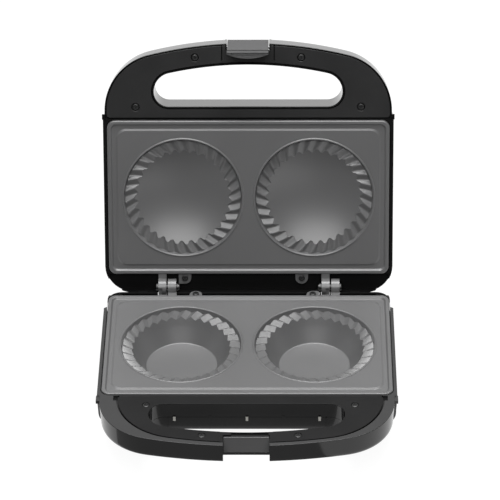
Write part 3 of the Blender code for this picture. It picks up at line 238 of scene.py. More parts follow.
NYLON = surface("nylon_body", (0.70, 0.69, 0.64), 0.04, 0.45, 0.05, 60, relief=0.05)
RED = surface("red_lens", (0.55, 0.020, 0.015), 0.06, 0.12, 0.02, 80, coat=0.5)
GREEN = surface("green_lens", (0.020, 0.40, 0.060), 0.06, 0.12, 0.02, 80, coat=0.5)
DARK_STEEL = surface("black_screw", grey(0.022), 0.15, 0.30, 0.05, 40, relief=0.05, fine=1500)
STEEL = brushed("bright_steel", (0.55, 0.55, 0.56), 0.28, (1, 8, 8))
PIN_STEEL = brushed("pin_steel", (0.10, 0.10, 0.10), 0.42)
SHEET = brushed("reflector_sheet", (0.76, 0.76, 0.77), 0.24, (8, 1, 8))
TINTED = brushed("element_sheath", (0.30, 0.285, 0.26), 0.42)


# Solids

def solid(work, name="tool"):
    bmesh.ops.recalc_face_normals(work, faces=work.faces)
    mesh = bpy.data.meshes.new(name)
    work.to_mesh(mesh)
    work.free()
    made = bpy.data.objects.new(name, mesh)
    bpy.context.scene.collection.objects.link(made)
    return made


def apply_changes(target):
    """Turns a piece's modifiers into its mesh."""
    bpy.context.view_layer.update()
    graph = bpy.context.evaluated_depsgraph_get()
    result = bpy.data.meshes.new_from_object(target.evaluated_get(graph))
    target.modifiers.clear()
    target.data = result


def combine(target, tool, operation):
    change = target.modifiers.new("shape", "BOOLEAN")
    change.operation = operation
    change.solver = "EXACT"
    change.object = tool
    apply_changes(target)
    bpy.data.objects.remove(tool, do_unlink=True)


def cut(target, *tools):
    for tool in tools:
        combine(target, tool, "DIFFERENCE")
    return target


def join(target, *others):
    for other in others:
        combine(target, other, "UNION")


def merged(target, *others):
    """One object holding several solids, without a Boolean."""
    work = bmesh.new()
    for obj in (target, *others):
        work.from_mesh(obj.data)
    for obj in others:
        bpy.data.objects.remove(obj, do_unlink=True)
    work.to_mesh(target.data)
    work.free()


def finish(obj, name, materials, half, nodes, angle=32):
    """Names a piece, dresses it, puts it in its place and lets it ride on its body."""
    obj.name = name
    obj.data.name = name
    while len(obj.data.materials) < len(materials):
        obj.data.materials.append(None)
    for i, made in enumerate(materials):
        obj.data.materials[i] = made
    obj.data.transform(PLACE[half] @ Matrix.Scale(MM, 4))
    obj.data.shade_smooth()
    obj.data.set_sharp_from_angle(angle=math.radians(angle))
    even = obj.modifiers.new("even", "WEIGHTED_NORMAL")
    even.keep_sharp = True
    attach(obj, half)
    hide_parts(*nodes)


def loft(rings, ladder=False):
    """A skin over rings of points, closed by one face or by a ladder of faces at its last ring."""
    work = bmesh.new()
    made = [[work.verts.new(point) for point in ring] for ring in rings]
    count = len(made[0])
    for low, high in zip(made, made[1:]):
        for i in range(count):
            j = (i + 1) % count
            work.faces.new((low[i], low[j], high[j], high[i]))
    work.faces.new(made[0])
    last = made[-1]
    if ladder:
        work.faces.new((last[0], last[1], last[-1]))
        for i in range(1, count // 2):
            work.faces.new((last[i], last[i + 1], last[-i - 1], last[-i]))
    else:
        work.faces.new(last)
    return solid(work)


def at_level(points, z):
    return [Vector((x, y, z)) for x, y in points]


def prism(points, low, high):
    return loft([at_level(points, low), at_level(points, high)])


def box(low, high):
    corners = [(low[0], low[1]), (high[0], low[1]), (high[0], high[1]), (low[0], high[1])]
    return prism(corners, low[2], high[2])


def circle(radius, sides, centre):
    step = 2 * math.pi / sides
    return [
        (centre[0] + radius * math.cos(i * step), centre[1] + radius * math.sin(i * step))
        for i in range(sides)
    ]


def turned(profile, sides, centre):
    """Turned about a line along Z, from radius and Z pairs."""
    return loft([at_level(circle(radius, sides, centre), z) for radius, z in profile])


def across(profile, sides, y, z):
    """Turned about a line along X, from radius and X pairs."""
    rings = []
    for radius, x in profile:
        rings.append([Vector((x, a, b)) for a, b in circle(radius, sides, (y, z))])
    return loft(rings)


def along_x(profile, low, high):
    return loft([[Vector((x, y, z)) for y, z in profile] for x in (low, high)])


def along_y(profile, sides, x, z):
    """Turned about a line along Y, from radius and Y pairs."""
    return loft([[Vector((a, y, b)) for a, b in circle(radius, sides, (x, z))] for radius, y in profile])


# Outlines, as in the part but finer

FRONT_STEPS = 22
CORNER_STEPS = 24
REAR_STEPS = 9
ROUND_STEPS = 10
SHOULDER_RUN = 1.5
LEAST_CORNER = 0.3


class Outline:
    """A half seen from above: a bowed front, round corners, stepped sides and a straight rear."""

    def __init__(self, half_width, front, front_radius, corner, rear, rear_corner, shoulders=(), shift=0.0):
        self.values = (half_width, front, front_radius, corner, rear, rear_corner)
        self.shoulders = shoulders
        self.shift = shift

    def but(self, rear=None, rear_corner=None, shoulders=None):
        values = list(self.values)
        values[4] = values[4] if rear is None else rear
        values[5] = values[5] if rear_corner is None else rear_corner
        return Outline(*values, self.shoulders if shoulders is None else shoulders)

    def inset(self, d):
        half_width, front, front_radius, corner, rear, rear_corner = self.values
        return Outline(
            half_width - d, front + d, front_radius - d, corner - d, rear - d,
            max(rear_corner - d, LEAST_CORNER), tuple((y, half - d) for y, half in self.shoulders),
            self.shift,
        )

    def right(self):
        half_width, front, front_radius, corner, rear, rear_corner = self.values
        corner_x = half_width - corner
        arc_y = front + front_radius
        reach = front_radius - corner
        corner_y = arc_y - math.sqrt(reach**2 - corner_x**2)
        tangent = math.atan2(corner_x, arc_y - corner_y)
        points = []
        for i in range(FRONT_STEPS + 1):
            turn = tangent * i / FRONT_STEPS
            points.append((front_radius * math.sin(turn), arc_y - front_radius * math.cos(turn)))
        drop = max(corner_y + rear_corner - rear, 0.0)
        last = math.acos(drop / corner)
        for i in range(1, CORNER_STEPS + 1):
            turn = tangent + (last - tangent) * i / CORNER_STEPS
            points.append((corner_x + corner * math.sin(turn), corner_y - corner * math.cos(turn)))
        half = points[-1][0]
        for y, next_half in self.shoulders:
            points.append((half, y))
            points.append((next_half, y + SHOULDER_RUN))
            half = next_half
        for i in range(1 if drop else 0, REAR_STEPS + 1):
            turn = math.pi / 2 * i / REAR_STEPS
            x = half - rear_corner * (1 - math.cos(turn))
            points.append((x, rear - rear_corner * (1 - math.sin(turn))))
        return points

    def loop(self):
        right = self.right()
        both = right + [(-x, y) for x, y in reversed(right[1:])]
        return [(x + self.shift, y) for x, y in both]


LID_REAR_CORNER = 24.5
BASE_REAR_CORNER = 12.0
BASE_INSET = 1.0
BASE_STATIONS = 8
STATION_STEP = 3.0
BASE_WAIST = (PLATE_Y - 18.5, PLATE_X + 0.6)
FLOOR_INSET = 24.0
FLOOR_REAR = BASE_REAR - 4.7
FLOOR_CORNER = 18.0
LID_FLOOR_INSET = 15.0
LID_COVER_LIP = 1.7
COVER_CORNER = 3.0
BASE_COVER_SHIFT = -3.0

LID_RIM = Outline(
    HANDLE_HALF, HANDLE_FRONT, HANDLE_ARC, HANDLE_CORNER, LID_REAR, LID_REAR_CORNER,
    ((SHOULDER_Y, LID_SIDE),),
)
LID_FLOOR = LID_RIM.inset(LID_FLOOR_INSET)
BASE_SHOULDERS = [(SHOULDER_Y + STATION_STEP * i, BASE_SIDE) for i in range(BASE_STATIONS + 1)]
BASE_RIM = Outline(
    HANDLE_HALF - BASE_INSET, HANDLE_FRONT + BASE_INSET, HANDLE_ARC, HANDLE_CORNER, BASE_REAR,
    BASE_REAR_CORNER, (*BASE_SHOULDERS, BASE_WAIST),
)
BASE_FLOOR = BASE_RIM.inset(FLOOR_INSET).but(rear=FLOOR_REAR, rear_corner=FLOOR_CORNER)
OPENING = Outline(OPENING_HALF, OPENING_FRONT, HANDLE_ARC - 47.0, 17.0, OPENING_BACK, 13.0)
LID_COVER = LID_RIM.inset(LID_COVER_LIP).but(rear=COVER_BACK, rear_corner=COVER_CORNER, shoulders=())
BASE_COVER = Outline(
    HANDLE_HALF - 13.4, HANDLE_FRONT + 6.3, HANDLE_ARC - 20.0, HANDLE_CORNER + 3.0, COVER_BACK, COVER_CORNER,
    shift=BASE_COVER_SHIFT,
)

GRIP_FRONT = 18.8
GRIP_BACK = 28.8
KEEL_START = -PLATE_Y - 11.5
KEEL_END = -PLATE_Y + 20.5


def base_keel(y):
    """Depth of the base: a rising grip, then a smooth step down to the full housing."""
    front = BASE_RIM.values[1]
    if y <= KEEL_START:
        return GRIP_FRONT + (GRIP_BACK - GRIP_FRONT) * (y - front) / (KEEL_START - front)
    share = min((y - KEEL_START) / (KEEL_END - KEEL_START), 1.0)
    return GRIP_BACK + (BASE_DEPTH - GRIP_BACK) * share * share * (3 - 2 * share)


def lid_keel(y):
    return LID_DEPTH


def rounded_rectangle(half_x, half_y, radius):
    points = []
    for side_x, side_y, quarter in ((1, 1, 0), (-1, 1, 1), (-1, -1, 2), (1, -1, 3)):
        for i in range(ROUND_STEPS + 1):
            turn = math.pi / 2 * (quarter + i / ROUND_STEPS)
            points.append((
                side_x * (half_x - radius) + radius * math.cos(turn),
                side_y * (half_y - radius) + radius * math.sin(turn),
            ))
    return points


def plate_outline(grow):
    return rounded_rectangle(PLATE_X + grow, PLATE_Y + grow, PLATE_CORNER + grow)


def tab_outline(x, square, grow=0.0):
    radius = TAB_RADIUS + grow
    root = PLATE_Y - 2.0
    points = [(x - radius, root), (x + radius, root)]
    last = 8 if square else 16
    for i in range(last + 1):
        turn = math.pi / 16 * i
        points.append((x + radius * math.cos(turn), TAB_Y + radius * math.sin(turn)))
    if square:
        points.append((x - radius, TAB_Y + radius))
    return points


# Shells

EDGE_STEPS = 4
BELLY_STEPS = 14
DRAFT_SHARE = 0.03
BELLY_POWER = 0.62
LIP = 0.5
LIP_STEPS = 3
MOUTH_OVER = 0.5
WALL = 2.5
HOLLOW_TOP = 8.0
SHOULDER_WALL = 1.5
OPENING_WALL = 4.0
PLATE_GAP = 0.5
PLATE_WELL = 5.7
LEDGE = 3.0
LEDGE_DEPTH = 10.0
GROOVES = {"lid": 0.8, "base": 1.5}
BED = 2.7
ISLAND = 1.5
BASE_BED_SIDE = 3.6
BASE_BED_FRONT = 7.5
REAR_WELL = 6.3
REAR_WALL = 2.3
TAB_GAP = 0.3
SKIRT_GAP = 0.3
LUG_GAP = 0.2
LUG_SLOTS = ((LUG_X, LUG_X + LUG_WIDTH - 0.3), (LUG_X + LUG_WIDTH + 0.7, LUG_X + 2 * LUG_WIDTH + 0.4))


def bowl(rim, floor, face, shoulder, keel, thickness=0.0, edge=0.0):
    """A shell's form: a rounded edge, a wall, and a belly that curves down to the keel."""
    rings = []
    for i in range(EDGE_STEPS if edge else 0):
        turn = math.pi / 2 * i / EDGE_STEPS
        ring = rim.inset(edge * (1 - math.sin(turn))).loop()
        rings.append(at_level(ring, face + edge * (1 - math.cos(turn))))
    rings.append(at_level(rim.loop(), face + edge))
    for step in range(BELLY_STEPS + 1):
        turn = math.pi / 2 * step / BELLY_STEPS
        share = DRAFT_SHARE + (1 - DRAFT_SHARE) * (1 - max(math.cos(turn), 0.0)**BELLY_POWER)
        ring = []
        for (x, y), (floor_x, floor_y) in zip(rim.loop(), floor.loop()):
            drop = (keel(floor_y) - thickness - shoulder) * math.sin(turn)**BELLY_POWER
            ring.append(Vector((x + (floor_x - x) * share, y + (floor_y - y) * share, shoulder + drop)))
        rings.append(ring)
    return loft(rings, ladder=True)


def flared(outline, low, high):
    """A hole's cutter whose mouths open out by a small rounded lip."""
    wide = outline.inset(-LIP - MOUTH_OVER).loop()
    rings = [at_level(wide, low - MOUTH_OVER)]
    for level, into in ((low, 1), (high, -1)):
        for i in range(LIP_STEPS + 1):
            step = i if into > 0 else LIP_STEPS - i
            turn = math.pi / 2 * step / LIP_STEPS
            ring = outline.inset(-LIP * (1 - math.sin(turn))).loop()
            rings.append(at_level(ring, level + into * LIP * (1 - math.cos(turn))))
    rings.append(at_level(wide, high + MOUTH_OVER))
    return loft(rings)


def notch_tool(back, grow=0.0):
    return box((-NOTCH_HALF - grow, NOTCH_FRONT, CUT_TOP), (NOTCH_HALF + grow, back + grow, NOTCH_DEPTH))


def cover_bed(half, cover, face):
    """The cutters for the recess that a handle cover lies in."""
    bed = prism(cover.inset(-GROOVES[half]).loop(), CUT_TOP, face + BED)
    if half == "lid":
        return [cut(bed, prism(OPENING.inset(-ISLAND).loop(), CUT_TOP - 1.0, CUT_END))]
    reach = cover.values[0] + BASE_BED_SIDE
    low = (cover.shift - reach, -PLATE_Y - BASE_BED_FRONT, CUT_TOP)
    return [bed, box(low, (cover.shift + reach, -PLATE_Y - 1.0, face + BED))]


def lug_slots():
    """The cutters for the slots that the lugs turn in."""
    tools = []
    radius = LUG_RADIUS + LUG_GAP
    for side in (-1, 1):
        for near, far in LUG_SLOTS:
            low, high = sorted((side * near, side * far))
            tools.append(across(((radius, low), (radius, high)), 64, HINGE_Y, 0.0))
            tools.append(box((low, PLATE_Y, CUT_TOP), (high, HINGE_Y, WEB_DEPTH + LUG_GAP)))
    return tools


def shell(half, rim, floor, face, shoulder, keel, cover, notch_back, edge):
    """One half's housing: hollow, with its wells, slots, finger opening and notch."""
    body = bowl(rim, floor, face, shoulder, keel, edge=edge)
    inside = (rim.inset(WALL), floor.inset(WALL), face + HOLLOW_TOP, shoulder - SHOULDER_WALL)
    hollow = bowl(*inside, keel, WALL)
    cut(hollow, prism(OPENING.inset(-OPENING_WALL).loop(), CUT_TOP, CUT_END), notch_tool(notch_back, WALL))
    cut(body, hollow)
    cut(body, prism(plate_outline(PLATE_GAP), CUT_TOP, PLATE_WELL))
    cut(body, prism(plate_outline(-LEDGE), CUT_TOP, face + LEDGE_DEPTH))
    cut(body, *cover_bed(half, cover, face))
    wide = cover.values[0]
    cut(body, box((-wide, PLATE_Y, CUT_TOP), (wide, rim.values[4] - REAR_WALL, REAR_WELL)))
    past = PLATE_X + 6.0
    cut(body, box((-past, PLATE_Y, CUT_TOP), (past, LID_REAR + 2.0, REAR_WALL_TOP)))
    for x, square in TABS:
        cut(body, prism(tab_outline(x, square, TAB_GAP), CUT_TOP, REAR_WELL))
    cut(body, *lug_slots())
    if half == "lid":
        cut(body, flared(OPENING, face, LID_DEPTH))
    else:
        cut(body, prism(OPENING.inset(-SKIRT_WALL - SKIRT_GAP).loop(), CUT_TOP, SKIRT_END + SKIRT_GAP))
        cut(body, prism(OPENING.loop(), CUT_TOP, CUT_END))
    return cut(body, notch_tool(notch_back))


NUB_ROOT = 1.2
NUB_HEIGHT = 3.0


def nubs(reach, front, back, face):
    pieces = []
    for side in (-1, 1):
        low, high = sorted((side * (HANDLE_HALF - NUB_ROOT), side * reach))
        pieces.append(box((low, front, face), (high, back, face + NUB_HEIGHT)))
    return pieces


def mark_faces(body, slot, test):
    """Gives the faces that pass the test another of the piece's materials."""
    for face in body.data.polygons:
        if test(face.center, face.normal):
            face.material_index = slot


SHADE_START = PLATE_Y + 0.2
SHADE_MARGIN = 0.4
SHADE_DEPTH = 8.5
SLOT_MARGIN = 1.5
SLOT_DEPTH = 9.5


def is_recess(centre, normal):
    """Whether a face lies in the well behind the plate, whose faces are given painted shade."""
    if centre.z >= SHADE_DEPTH or not SHADE_START < centre.y < LID_REAR - SHADE_MARGIN:
        return False
    return centre.y < BASE_REAR - SHADE_MARGIN or centre.z > REAR_WALL_TOP + 0.2


def in_slot(centre, normal):
    """Whether a face belongs to one of the slots that the lugs turn in, which are given painted shade."""
    sideways = LUG_X - SLOT_MARGIN < abs(centre.x) < LUG_X + 2 * LUG_WIDTH + 2.0
    return sideways and PLATE_Y < centre.y < HINGE_Y + LUG_RADIUS + 1.0 and -1.0 < centre.z < SLOT_DEPTH


def in_bed(face):
    """A test for faces of the recess that a handle cover lies in."""
    return lambda centre, normal: face + 0.6 < centre.z < face + BED + 0.05 and centre.y < -PLATE_Y


LID_EDGE = 0.5
LATCH_BOSS = ((18.6, LATCH_FACE + 1.2, 5.0), (20.5, LATCH_FACE + 10.9, 25.0))


def lid_shell():
    shoulder = LID_DEPTH - LID_FLOOR_INSET
    body = shell("lid", LID_RIM, LID_FLOOR, LID_FACE, shoulder, lid_keel, LID_COVER, NOTCH_BACK, LID_EDGE)
    (near, front, top), (far, back, bottom) = LATCH_BOSS
    bosses = [box((low, front, top), (high, back, bottom)) for low, high in ((near, far), (-far, -near))]
    merged(body, *bosses, *nubs(LID_SIDE + 0.7, SHOULDER_Y - 1.0, SHOULDER_Y + 3.4, LID_FACE))
    # The cover bed, the well behind the plate and the lug slots get painted shade
    for test in (in_bed(LID_FACE), is_recess, in_slot):
        mark_faces(body, 1, test)
    finish(body, "lid_shell_fine", [GLOSS, PAINTED_SHADE], "lid", ["lid_shell"])


BASE_EDGE = 0.4
BASE_SHOULDER = 15.0
STOP_X = 95.0
STOP_HALF = 4.0
STOP_TOP = 4.5
STOP_END = 11.0
GLAND_PLACE = (45.0, 26.5)
GLAND_BOSS = ((11.0, BASE_REAR - 5.7), (11.0, BASE_REAR + 2.7), (10.4, BASE_REAR + 3.3))
GLAND_BORE = ((6.0, BASE_REAR - 8.0), (6.0, BASE_REAR + 6.0))
RIB_X = 67.5
RIB_HALF = 0.5


def base_housing():
    body = shell(
        "base", BASE_RIM, BASE_FLOOR, BASE_FACE, BASE_SHOULDER, base_keel, BASE_COVER, BASE_NOTCH_BACK,
        BASE_EDGE,
    )
    touch = HINGE_Y + (LID_REAR - HINGE_Y) * math.cos(OPEN) + REAR_WALL_TOP * math.sin(OPEN) - 0.3
    join(body, along_y(GLAND_BOSS, 48, *GLAND_PLACE))
    for side in (-1, 1):
        low, high = side * STOP_X - STOP_HALF, side * STOP_X + STOP_HALF
        join(body, box((low, BASE_REAR - 1.3, STOP_TOP), (high, touch, STOP_END)))
    for side in (-1, 1):
        low, high = side * RIB_X - RIB_HALF, side * RIB_X + RIB_HALF
        join(body, box((low, OPENING_BACK - 1.2, 16.0), (high, OPENING_BACK + 1.0, 26.0)))
    cut(body, along_y(GLAND_BORE, 48, *GLAND_PLACE))
    merged(body, *nubs(BASE_SIDE + 0.5, SHOULDER_Y - 4.7, SHOULDER_Y + 2.5, BASE_FACE))
    mark_faces(body, 2, lambda centre, normal: normal.z < -0.9 and centre.z < BASE_FACE + 0.1)
    # The well behind the plate and the lug slots get painted shade
    for test in (is_recess, in_slot):
        mark_faces(body, 1, test)
    finish(body, "base_housing_fine", [GLOSS, PAINTED_SHADE, BAND], "base", ["base_housing"])


# Handle covers and screws

def mirrored(places, shift=0.0):
    """Each place and its like on the other side."""
    return [(side * x + shift, y) for x, y in places for side in (-1, 1)]


LID_SCREWS = mirrored(((OPENING_HALF + 16.3, OPENING_BACK + 0.5), (46.7, OPENING_FRONT - 6.4)))
BASE_SCREWS = mirrored(
    ((OPENING_HALF + 5.7, OPENING_BACK - 1.2), (40.5, OPENING_FRONT - 4.0)), BASE_COVER_SHIFT
)
LID_WELL = 3.5
BASE_WELL = 3.0
WELL_LIP = 0.4
WELL_DEPTH = 1.95
SHANK_BORE = 1.7
COVER_PLAY = 0.3
LID_COVER_HOLE = 2.4


def chamfered(outline, face):
    rings = [at_level(outline.inset(COVER_EDGE).loop(), face)]
    for depth in (COVER_EDGE, COVER_THICKNESS):
        rings.append(at_level(outline.loop(), face + depth))
    return loft(rings)


def screw_wells(body, places, face, radius):
    mouth = (
        (radius + WELL_LIP, face - 1.0), (radius + WELL_LIP, face + 0.01), (radius, face + WELL_LIP),
        (radius, face + WELL_DEPTH),
    )
    for place in places:
        cut(body, turned(mouth, 32, place))
        cut(body, turned(((SHANK_BORE, face), (SHANK_BORE, face + 6.0)), 24, place))


def in_well(places, face, radius):
    """A test for faces of the screws' wells, below their lips."""
    def test(centre, normal):
        near = min(math.hypot(centre.x - x, centre.y - y) for x, y in places)
        return near < radius + 0.2 and face + WELL_LIP < centre.z < face + COVER_THICKNESS - 0.1
    return test


SEAM_X = 23.0
SEAM_HALF = 0.5
SEAM_FRONT = LATCH_FACE - 0.6
LID_BRIDGE = OPENING_FRONT - 13.2


def lid_cover():
    body = chamfered(LID_COVER, LID_FACE)
    cut(body, prism(OPENING.inset(-LID_COVER_HOLE).loop(), CUT_TOP, CUT_END))
    cut(body, notch_tool(LID_BRIDGE, COVER_PLAY))
    for side in (-1, 1):
        low, high = side * SEAM_X - SEAM_HALF, side * SEAM_X + SEAM_HALF
        cut(body, box((low, SEAM_FRONT, CUT_TOP), (high, OPENING_FRONT - 3.6, 5.0)))
    screw_wells(body, LID_SCREWS, LID_FACE, LID_WELL)
    # The screws' wells get painted shade
    mark_faces(body, 1, in_well(LID_SCREWS, LID_FACE, LID_WELL))
    finish(body, "lid_cover_fine", [LID_GRAIN, PAINTED_SHADE], "lid", ["lid_handle_cover"])


CLIP_PITCH = 31.0
CLIP_HALF = 1.1
CLIP_REACHES = (1.1, 0.5)
CLIP_TOP = 14.4
CLIP_END = 19.0
DIP_HALF = 22.2
DIP_BACK = OPENING_FRONT + 1.8
STEP_HALF = 15.7
STEP_DEPTH = 3.3


def on_clip(centre, normal):
    """Whether a face is the free end of one of the skirt's clips."""
    return centre.y < OPENING_BACK - 0.9 and centre.z > CLIP_TOP - 0.1 and normal.y < -0.5


def base_cover():
    body = chamfered(BASE_COVER, BASE_FACE)
    join(body, prism(OPENING.inset(-SKIRT_WALL).loop(), BASE_FACE + 1.2, SKIRT_END))
    cut(body, flared(OPENING, BASE_FACE, SKIRT_END + 1.5), notch_tool(BASE_NOTCH_BACK, COVER_PLAY))
    for i in range(-2, 3):
        low = (CLIP_PITCH * i - CLIP_HALF, OPENING_BACK - CLIP_REACHES[i % 2], CLIP_TOP)
        join(body, box(low, (CLIP_PITCH * i + CLIP_HALF, OPENING_BACK + 0.5, CLIP_END)))
    cut(body, box((-DIP_HALF, NOTCH_FRONT, CUT_TOP), (DIP_HALF, DIP_BACK, BASE_FACE + 0.5)))
    low, high = BASE_COVER_SHIFT - STEP_HALF, BASE_COVER_SHIFT + STEP_HALF
    cut(body, box((low, NOTCH_FRONT, CUT_TOP), (high, OPENING_FRONT - 0.6, STEP_DEPTH)))
    screw_wells(body, BASE_SCREWS, BASE_FACE, BASE_WELL)
    mark_faces(body, 1, lambda centre, normal: centre.z > BASE_FACE + 1.2 and abs(normal.z) < 0.5)
    mark_faces(body, 2, on_clip)
    finish(body, "base_cover_fine", [COVER, GLOSS, NYLON], "base", ["base_handle_cover"])


HEAD_RADIUS = 2.8
HEAD_HEIGHT = 1.6
HEAD_STEPS = 4
CROWN_SHARE = 0.62
CROWN = 0.55
CROSS_HALF = 0.42
CROSS_DEPTH = 0.75
SHANK_RADIUS = 1.4
SHANK_LENGTH = 8.0
COVER_SEAT = 1.8
TAB_SEAT = 2.7


def screw(place, seat):
    """A pan head with a cross in it, on a smooth shank."""
    top = seat - HEAD_HEIGHT
    rings = []
    for i in range(HEAD_STEPS + 1):
        turn = math.pi / 2 * i / HEAD_STEPS
        radius = HEAD_RADIUS * (CROWN_SHARE + (1 - CROWN_SHARE) * math.sin(turn))
        rings.append((radius, top + CROWN * (1 - math.cos(turn))))
    rings += [(HEAD_RADIUS, seat), (SHANK_RADIUS, seat), (SHANK_RADIUS, seat + SHANK_LENGTH)]
    body = turned(rings, 32, place)
    x, y = place
    arm = HEAD_RADIUS * CROWN_SHARE
    for a, b in ((arm, CROSS_HALF), (CROSS_HALF, arm)):
        cut(body, box((x - a, y - b, top - 0.5), (x + a, y + b, top + CROSS_DEPTH)))
    return body


def screws():
    tab_places = [(x, TAB_Y) for x, square in TABS]
    sets = (
        ("lid", "lid_handle_screw", LID_SCREWS, LID_FACE + COVER_SEAT),
        ("base", "base_handle_screw", BASE_SCREWS, BASE_FACE + COVER_SEAT),
        ("lid", "lid_plate_screw", tab_places, TAB_SEAT),
        ("base", "base_plate_screw", tab_places, TAB_SEAT),
    )
    for half, name, places, seat in sets:
        for number, place in enumerate(places, 1):
            node = f"{name}_{number}"
            finish(screw(place, seat), node + "_fine", [DARK_STEEL], half, [node])


# Plates

# Inset from the plate's outline, depth and corner radius, from the back over the rim to the field
SECTION = (
    (0.0, 5.4, 7.0), (0.0, 1.3, 7.0), (0.12, 0.80, 6.9), (0.40, 0.42, 6.7), (0.80, 0.22, 6.4),
    (1.10, 0.20, 6.1), (2.90, 0.20, 5.0), (3.10, 0.24, 4.9), (3.25, 0.36, 4.8), (4.20, 1.66, 4.4),
    (4.40, 1.80, 4.3), (4.70, 1.84, 4.2), (7.40, 1.84, 9.3), (7.60, 1.80, 9.2), (8.90, 0.98, 8.6),
    (9.05, 0.92, 8.5), (9.25, 0.90, 8.4),
)
SLAB_X = PLATE_X - 0.2
SLAB_Y = PLATE_Y - 0.55
FIELD_HOLE = 53.9
FLUTES = 31
PER_FLUTE = 12
ROUND = FLUTES * PER_FLUTE
SLANT = math.radians(5.1)
LID_WAVE_SHARE = 0.94
DOME_LEVEL = 12.8
DOME_BALL = 111.7
DOME_RADIUS = 38.0
DOME_STEPS = 21
BAND_RADIUS = 51.3
BAND_LEVEL = 4.0
BAND_STEPS = 8
WAVE = 1.15

# Width and fall of the fluted band, growth of its wave and how far the wave draws the band in
BANDS = {"lid": (9.2, 0.6, 0.0, 1.4), "base": (8.55, 1.2, 0.15, 0.73)}

# Radius and depth of the mould's bead, from its foot inwards
BEAD = (
    (53.85, 6.0), (54.40, 1.10), (54.28, 0.86), (54.05, 0.62), (53.75, 0.43), (53.40, 0.33), (53.05, 0.34),
    (52.70, 0.47), (52.42, 0.70), (52.24, 1.00), (52.16, 1.40), (51.75, 3.20), (51.45, 3.85),
)

# Radius of the rings where the flutes fade out in the dome, and how far the wave still draws them in
DOME_FADE = ((41.75, 1.40), (41.20, 1.20), (39.80, 0.60))

# Radius and depth of the cup's rings and of each mould's back
CUP = (
    (41.8, 6.9), (40.2, 9.8), (38.5, 12.8), (34.9, 18.4), (31.5, 23.8), (31.25, 24.15), (30.85, 24.42),
    (30.2, 24.55), (20.0, 24.6), (8.0, 24.6), (0.5, 24.6),
)
BACKS = {
    "lid": ((2.0, 16.1), (20.0, 15.2), (36.0, 12.0), (44.0, 8.9), (53.85, 8.6)),
    "base": ((2.0, 27.4), (34.0, 27.2), (41.3, 15.6), (44.4, 9.6), (53.85, 8.6)),
}


def plate_slab():
    """The flat of a plate, with a rounded rim and a groove in it, and a round hole for each mould."""
    rings = []
    for inset, z, radius in SECTION:
        rings.append(at_level(rounded_rectangle(SLAB_X - inset, SLAB_Y - inset, radius), z))
    body = loft(rings)
    for side in (-1, 1):
        cut(body, turned(((FIELD_HOLE, CUT_TOP), (FIELD_HOLE, 8.0)), ROUND // 2, (side * PIE_X, 0.0)))
    return body


def flute_level(half, share):
    """Level of the wave from -1 to 1, rounded in the lid and with sharp crests in the base."""
    level = 1 - 2 * abs(2 * share - 1)
    if half == "base":
        return level
    return math.sin(math.pi / 2 * level * LID_WAVE_SHARE)


def dish(radius):
    """Depth of the lid's shallow bowl at a distance from its centre."""
    return DOME_LEVEL - DOME_BALL + math.sqrt(DOME_BALL**2 - radius**2)


def flute_ring(side, half, radius, level, wave=0.0, slide=0.0, tuck=0.0, depth=None):
    """A ring round a mould, with the flutes' wave in its level and its radius."""
    ring = []
    for i in range(ROUND):
        flute, step = divmod(i, PER_FLUTE)
        share = step / PER_FLUTE
        lift = flute_level(half, share)
        angle = 2 * math.pi * (flute + share) / FLUTES - side * SLANT * slide
        r = radius - tuck * lift
        z = depth(r) if depth else level + wave * lift
        ring.append(Vector((side * PIE_X + r * math.cos(angle), r * math.sin(angle), z)))
    return ring


def band(side, half):
    """The fluted band between the bead and the bowl."""
    width, fall, growth, tuck = BANDS[half]
    rings = []
    for i in range(BAND_STEPS + 1):
        share = i / BAND_STEPS
        radius = BAND_RADIUS - width * share
        level = BAND_LEVEL + fall * share
        rings.append(flute_ring(side, half, radius, level, WAVE + growth * share, share, tuck * share))
    return rings


def dome(side):
    """The lid's shallow bowl, where the flutes fade out."""
    steps = [(DOME_RADIUS * (1 - (i / DOME_STEPS)**1.1), 0.0) for i in range(DOME_STEPS + 1)]
    rings = []
    for radius, tuck in (*DOME_FADE, *steps):
        rings.append(flute_ring(side, "lid", max(radius, 0.5), 0.0, slide=1.0, tuck=tuck, depth=dish))
    return rings


def cup(side):
    return [flute_ring(side, "base", radius, level, slide=1.0) for radius, level in CUP]


def mould(side, half):
    """One pie mould as a closed skin: its back, the bead, the fluted band and the bowl."""
    centre = (side * PIE_X, 0.0)
    rings = [at_level(circle(radius, ROUND, centre), level) for radius, level in BACKS[half]]
    rings += [flute_ring(side, half, radius, level) for radius, level in BEAD]
    rings += band(side, half)
    rings += dome(side) if half == "lid" else cup(side)
    return loft(rings)


LUG_BORE = 2.7
LUG_SOFT = 0.35
WEB_TOP = 0.8
TAB_TOP = 3.0
TAB_EDGE = 0.3
TAB_BACK = 6.0
TAB_WELL = 3.4
STUD_RADIUS = 3.6
STUD_YS = (-38.0, 51.5)
STUD_ENDS = {"lid": 19.7, "base": 28.3}

# The ends of each lug in X, and of the step that is cut out of the lid's lugs
LUGS = {
    "lid": ((-80.7, -73.6, (-82.0, -77.2)), (65.0, 72.2, (68.8, 73.6))),
    "base": ((-81.0, -73.6, None), (64.8, 72.2, None)),
}


def lug(low, high, step):
    """A hinge lug: an eye and the web that joins it to the plate, with soft edges."""
    body = along_x(circle(LUG_RADIUS, 64, (HINGE_Y, 0.0)), low, high)
    root = PLATE_Y - 2.0
    web = ((root, WEB_TOP), (HINGE_Y, WEB_TOP), (HINGE_Y, WEB_DEPTH), (root, WEB_DEPTH))
    join(body, along_x(web, low, high))
    cut(body, along_x(circle(LUG_BORE, 32, (HINGE_Y, 0.0)), low - 2, high + 2))
    if step:
        cut(body, box((step[0], HINGE_Y - 0.5, -8.0), (step[1], HINGE_Y + 8.0, -3.4)))
    soft = body.modifiers.new("soft", "BEVEL")
    soft.width = LUG_SOFT
    soft.segments = 2
    soft.limit_method = "ANGLE"
    soft.angle_limit = math.radians(50)
    apply_changes(body)
    return body


